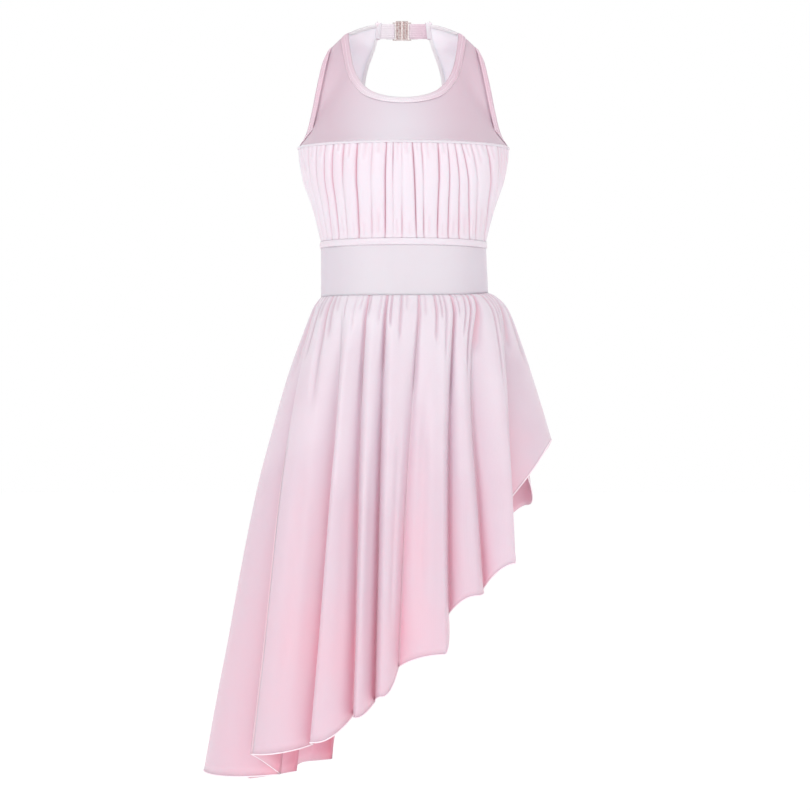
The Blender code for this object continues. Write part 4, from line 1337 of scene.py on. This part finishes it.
def cord(name, path, radius):
    """A narrow rolled edge that follows the path."""
    tube = bmesh.new()
    last = len(path) - 1
    bmesh.ops.create_grid(tube, x_segments=last, y_segments=CORD_SIDES, size=1.0)
    for corner in tube.verts:
        place = round((corner.co.x + 1.0) / 2.0 * last)
        turn = math.pi * corner.co.y
        along = (path[min(place + 1, last)] - path[max(place - 1, 0)]).normalized()
        side = along.cross(Vector((0.0, 0.0, 1.0))).normalized()
        up = side.cross(along)
        corner.co = (path[place] + (side * math.cos(turn) + up * math.sin(turn)) * radius) * MM
    bmesh.ops.remove_doubles(tube, verts=tube.verts, dist=0.01 * MM)
    bmesh.ops.recalc_face_normals(tube, faces=tube.faces)
    mesh = bpy.data.meshes.new(name)
    tube.to_mesh(mesh)
    tube.free()
    mesh.shade_smooth()
    return wear(new_piece(name, mesh, THREAD), "turned_hem")


def build_skirt():
    for name, lines, creases in (
        ("front", FRONT_LINES, FRONT_CREASES),
        ("back", BACK_LINES, BACK_CREASES),
    ):
        columns, shades = skirt_cloth(lines, creases)
        skirt = cloth_sheet("skirt_cloth_" + name, columns, SKIRT_SATIN, SKIRT_INNER,
                            shades=shades)
        wear(skirt, "satin_gathered", "skirt_" + name)
        hem = cord("skirt_hem_" + name, [column[-1] for column in columns], ROLLED_HEM)


def brief_top(angle):
    return torso_point(angle, SKIRT_SEAM + BRIEF_RISE, -BRIEF_INSET)


BRIEF_STEPS = 5
BRIEF_ROWS = 24


def build_brief():
    front = [
        station(brief_top(0.0), (0.0, CROTCH_Y, CROTCH), (0.0, -6.0, 0.0)),
        station(brief_top(11.0), (14.0, CROTCH_Y, CROTCH), (0.0, -6.0, 0.0)),
        station(brief_top(22.0), (27.0, CROTCH_Y, CROTCH + 0.5), (0.0, -6.0, 0.0)),
        station(brief_top(34.0), (42.0, -91.0, CROTCH + 6.0), (0.0, -5.0, 0.0)),
        station(brief_top(47.0), (65.0, -110.0, CROTCH + 22.0), (1.0, -4.0, 0.0)),
        station(brief_top(60.0), (90.0, -112.0, CROTCH + 43.0), (2.0, -3.0, 0.0)),
        station(brief_top(75.0), (108.0, -94.0, CROTCH + 65.0), (3.0, -1.0, 0.0)),
        station(brief_top(90.0), (115.0, BODY_CENTRE_Y, CROTCH + 82.0), (4.0, 0.0, 0.0)),
    ]
    back = [
        station(brief_top(180.0), (0.0, CROTCH_Y, CROTCH), (0.0, 17.0, 0.0)),
        station(brief_top(169.0), (14.0, CROTCH_Y, CROTCH), (0.0, 17.0, 0.0)),
        station(brief_top(158.0), (27.0, CROTCH_Y, CROTCH + 0.5), (0.0, 17.0, 0.0)),
        station(brief_top(146.0), (46.0, -50.0, CROTCH + 1.0), (0.0, 15.0, 0.0)),
        station(brief_top(133.0), (70.0, -26.0, CROTCH + 8.0), (1.0, 11.0, 0.0)),
        station(brief_top(120.0), (92.0, -18.0, CROTCH + 28.0), (2.0, 7.0, 0.0)),
        station(brief_top(105.0), (109.0, -38.0, CROTCH + 56.0), (4.0, 3.0, 0.0)),
        station(brief_top(90.0), (115.0, BODY_CENTRE_Y, CROTCH + 82.0), (4.0, 0.0, 0.0)),
    ]
    for name, half in (("front", front), ("back", back)):
        lines = lines_across(both_sides(half), BRIEF_STEPS)
        points = panel_columns(lines, under_profile, BRIEF_ROWS)
        brief = wear(
            cloth_sheet("brief_cloth_" + name, points, BUST_SATIN, INNER_SATIN),
            "satin_smooth", "brief_" + name,
        )


# Nape strap


def rib_height(share):
    """Woven ribs run the length of the elastic, with a firm selvedge at each side."""
    if share < SELVEDGE or share > 1.0 - SELVEDGE:
        return RIB_DEPTH
    across = (share - SELVEDGE) / (1.0 - 2.0 * SELVEDGE)
    return RIB_DEPTH * math.cos(2.0 * math.pi * ELASTIC_RIBS * across)


def build_elastic(name, side):
    """From the back's narrow end it runs to the clasp's bar, round it and back inside."""
    bar_x = abs(CLASP_CENTRE_X + side * CLASP_HALF_LENGTH) - CLASP_BAR / 2.0
    wrap = CLASP_FRAME_THICKNESS / 2.0 + BAR_PLAY + ELASTIC / 2.0
    path = [
        (STRAP_END_X - STRAP_END_GAP + STRAP_TUCK, 0.0),
        (between(STRAP_END_X, bar_x, SAG_PLACE), -wrap * STRAP_SAG),
    ]
    for step in range(WRAP_STEPS + 1):
        turn = math.pi * step / WRAP_STEPS
        path.append((bar_x - wrap * math.sin(turn), -wrap * math.cos(turn)))
    path.append((bar_x + STRAP_TAIL, wrap))
    columns = []
    for place, (x, y) in enumerate(path):
        before = path[max(place - 1, 0)]
        after = path[min(place + 1, len(path) - 1)]
        along = Vector((after[0] - before[0], after[1] - before[1], 0.0)).normalized()
        out = Vector((along.y, -along.x, 0.0))
        column = []
        for row in range(ELASTIC_ROWS + 1):
            share = row / ELASTIC_ROWS
            rib = out * rib_height(share)
            column.append(Vector((side * (x + rib.x), y + rib.y,
                                  ELASTIC_HEIGHT * (0.5 - share))))
        columns.append(column)
    strap = cloth_sheet(name, columns, ELASTIC_WEAVE, None, ELASTIC - 2.0 * RIB_DEPTH, 0.0)
    wear(strap, "elastic", name.replace("nape", "neck"))


def build_strap_end(name, side):
    """The back's narrow end turned over the elastic and stitched down."""
    path = [(37.5, -2.0), (34.5, -2.3), (31.0, -2.2), (29.6, -1.5), (29.2, 0.0), (29.6, 1.5),
            (31.0, 2.2), (34.5, 2.3), (37.5, 2.0)]
    columns = []
    for x, y in path:
        column = []
        for row in range(STRAP_END_ROWS + 1):
            share = row / STRAP_END_ROWS
            slant = STRAP_END_SLANT * (share - 0.5)
            ripple = STRAP_END_RIPPLE * math.sin(share * RIPPLE_PACE)
            height = STRAP_END_TOP - STRAP_END_HEIGHT * share
            column.append(Vector((side * (x + slant), y + ripple, height)))
        columns.append(column)
    end = cloth_sheet(name, columns, HEM_SATIN, None, STRAP_END_CLOTH, 0.0)
    forward = Vector((0.0, -1.0, 0.0))
    row_of_stitches = [point + forward * STRAP_STITCH_STAND for point in columns[1]]
    facing = [forward] * len(row_of_stitches)
    threads = stitch_line(name + "_stitches", [row_of_stitches], [facing], STRAP_STITCH_PITCH)
    wear(end, "turned_hem")


STONE_ROWS = 7
STONE_COLUMNS = 2
STONE_MARGIN = 1.6
STONE_FIRST_X = 2.3
STONE_SPACING = 3.8
STONE_MIDDLE_Z = 1.0
STONE_LIFT = 0.35
STONE_RADIUS = 1.65
STONE_TABLE = 0.95
STONE_HEIGHT = 0.9


def build_stones(name, side):
    """Two columns of faceted stones set in the clasp's face."""
    stones = bmesh.new()
    pitch = (CLASP_BODY_HEIGHT - STONE_MARGIN) / STONE_ROWS
    for column in range(STONE_COLUMNS):
        for row in range(STONE_ROWS):
            x = CLASP_CENTRE_X + side * (STONE_FIRST_X + STONE_SPACING * column)
            y = -CLASP_BODY_THICKNESS / 2.0 - STONE_LIFT
            z = STONE_MIDDLE_Z + (row - (STONE_ROWS - 1) / 2.0) * pitch
            turned = Matrix.Rotation(math.radians(90.0), 4, "X")
            place = Matrix.Scale(MM, 4) @ Matrix.Translation((x, y, z)) @ turned
            bmesh.ops.create_cone(
                stones, cap_ends=True, segments=8, radius1=STONE_RADIUS, radius2=STONE_TABLE,
                depth=STONE_HEIGHT, matrix=place,
            )
    bmesh.ops.recalc_face_normals(stones, faces=stones.faces)
    mesh = bpy.data.meshes.new(name)
    stones.to_mesh(mesh)
    stones.free()
    return wear(new_piece(name, mesh, STONE), "plated_metal")


def build_nape_strap():
    for name, side in (("left", 1.0), ("right", -1.0)):
        build_elastic("nape_elastic_" + name, side)
        build_strap_end("strap_end_" + name, side)
        build_stones("clasp_stones_" + name, side)
        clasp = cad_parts["clasp_" + name]
        clasp.data.materials.clear()
        clasp.data.materials.append(PLATED_METAL)


# Studio


FLOOR_HEIGHT = -1.17  # metres; where the wearer's feet would stand


FLOOR_SIZE = 30.0


def pale_floor():
    bpy.ops.mesh.primitive_plane_add(size=FLOOR_SIZE, location=(0.0, 0.0, FLOOR_HEIGHT))
    floor = bpy.context.object
    floor.name = "floor"
    material, tree, shader = start_material("white seamless paper")
    shader.inputs["Base Color"].default_value = colour("FDFDFD")
    shader.inputs["Emission Color"].default_value = (1.0, 1.0, 1.0, 1.0)
    shader.inputs["Emission Strength"].default_value = 0.15
    shader.inputs["Roughness"].default_value = 0.9
    shader.inputs["Specular IOR Level"].default_value = 0.2
    floor.data.materials.append(material)


def soft_light(name, place, aim, size, power):
    lamp = bpy.data.lights.new(name, "AREA")
    lamp.shape = "RECTANGLE"
    lamp.size, lamp.size_y = size
    lamp.energy = power
    light = bpy.data.objects.new(name, lamp)
    bpy.context.scene.collection.objects.link(light)
    light.location = place
    light.rotation_euler = (Vector(aim) - Vector(place)).to_track_quat("-Z", "Y").to_euler()


SIDE_WALLS = 0.74  # how bright the walls at the sides are, next to the white ones
WHITE_FROM = 0.85  # from this far forward or back, as a direction, the walls are white
DRESS_MIDDLE = (0.0, -0.1, -0.3)


def studio():
    scene = bpy.context.scene
    world = bpy.data.worlds.new("white studio")
    world.use_nodes = True
    tree = world.node_tree
    walls = tree.nodes["Background"]
    walls.inputs["Color"].default_value = (1.0, 1.0, 1.0, 1.0)
    # The walls before and behind the dress are white, those at its sides and above are dimmer
    around_it = add_node(tree, "ShaderNodeTexCoord")
    parts = add_node(
        tree, "ShaderNodeSeparateXYZ", {}, {}, {"Vector": around_it.outputs["Generated"]},
    )
    depth = add_node(
        tree, "ShaderNodeMath", {"operation": "ABSOLUTE"}, {}, {0: parts.outputs["Y"]},
    )
    level = add_node(
        tree, "ShaderNodeMapRange", {},
        {"From Max": WHITE_FROM, "To Min": SIDE_WALLS, "To Max": 1.0},
        {"Value": depth.outputs["Value"]},
    )
    tree.links.new(level.outputs["Result"], walls.inputs["Strength"])
    scene.world = world
    scene.view_settings.view_transform = "Standard"
    soft_light("key", (-1.7, -2.6, 1.0), DRESS_MIDDLE, (1.2, 1.6), 24.0)
    soft_light("fill", (1.9, -2.3, 0.8), DRESS_MIDDLE, (1.4, 1.8), 13.0)
    camera_data = bpy.data.cameras.new("camera")
    camera_data.lens = 100.0
    camera_data.sensor_width = 36.0
    camera = bpy.data.objects.new("camera", camera_data)
    scene.collection.objects.link(camera)
    camera.location = (0.0019, -2.887, -0.479)
    camera.rotation_euler = (math.radians(90.0), 0.0, 0.0)
    scene.camera = camera


build_bodice()
build_bust()
build_waistband()
build_skirt()
build_brief()
build_nape_strap()
pale_floor()
studio()
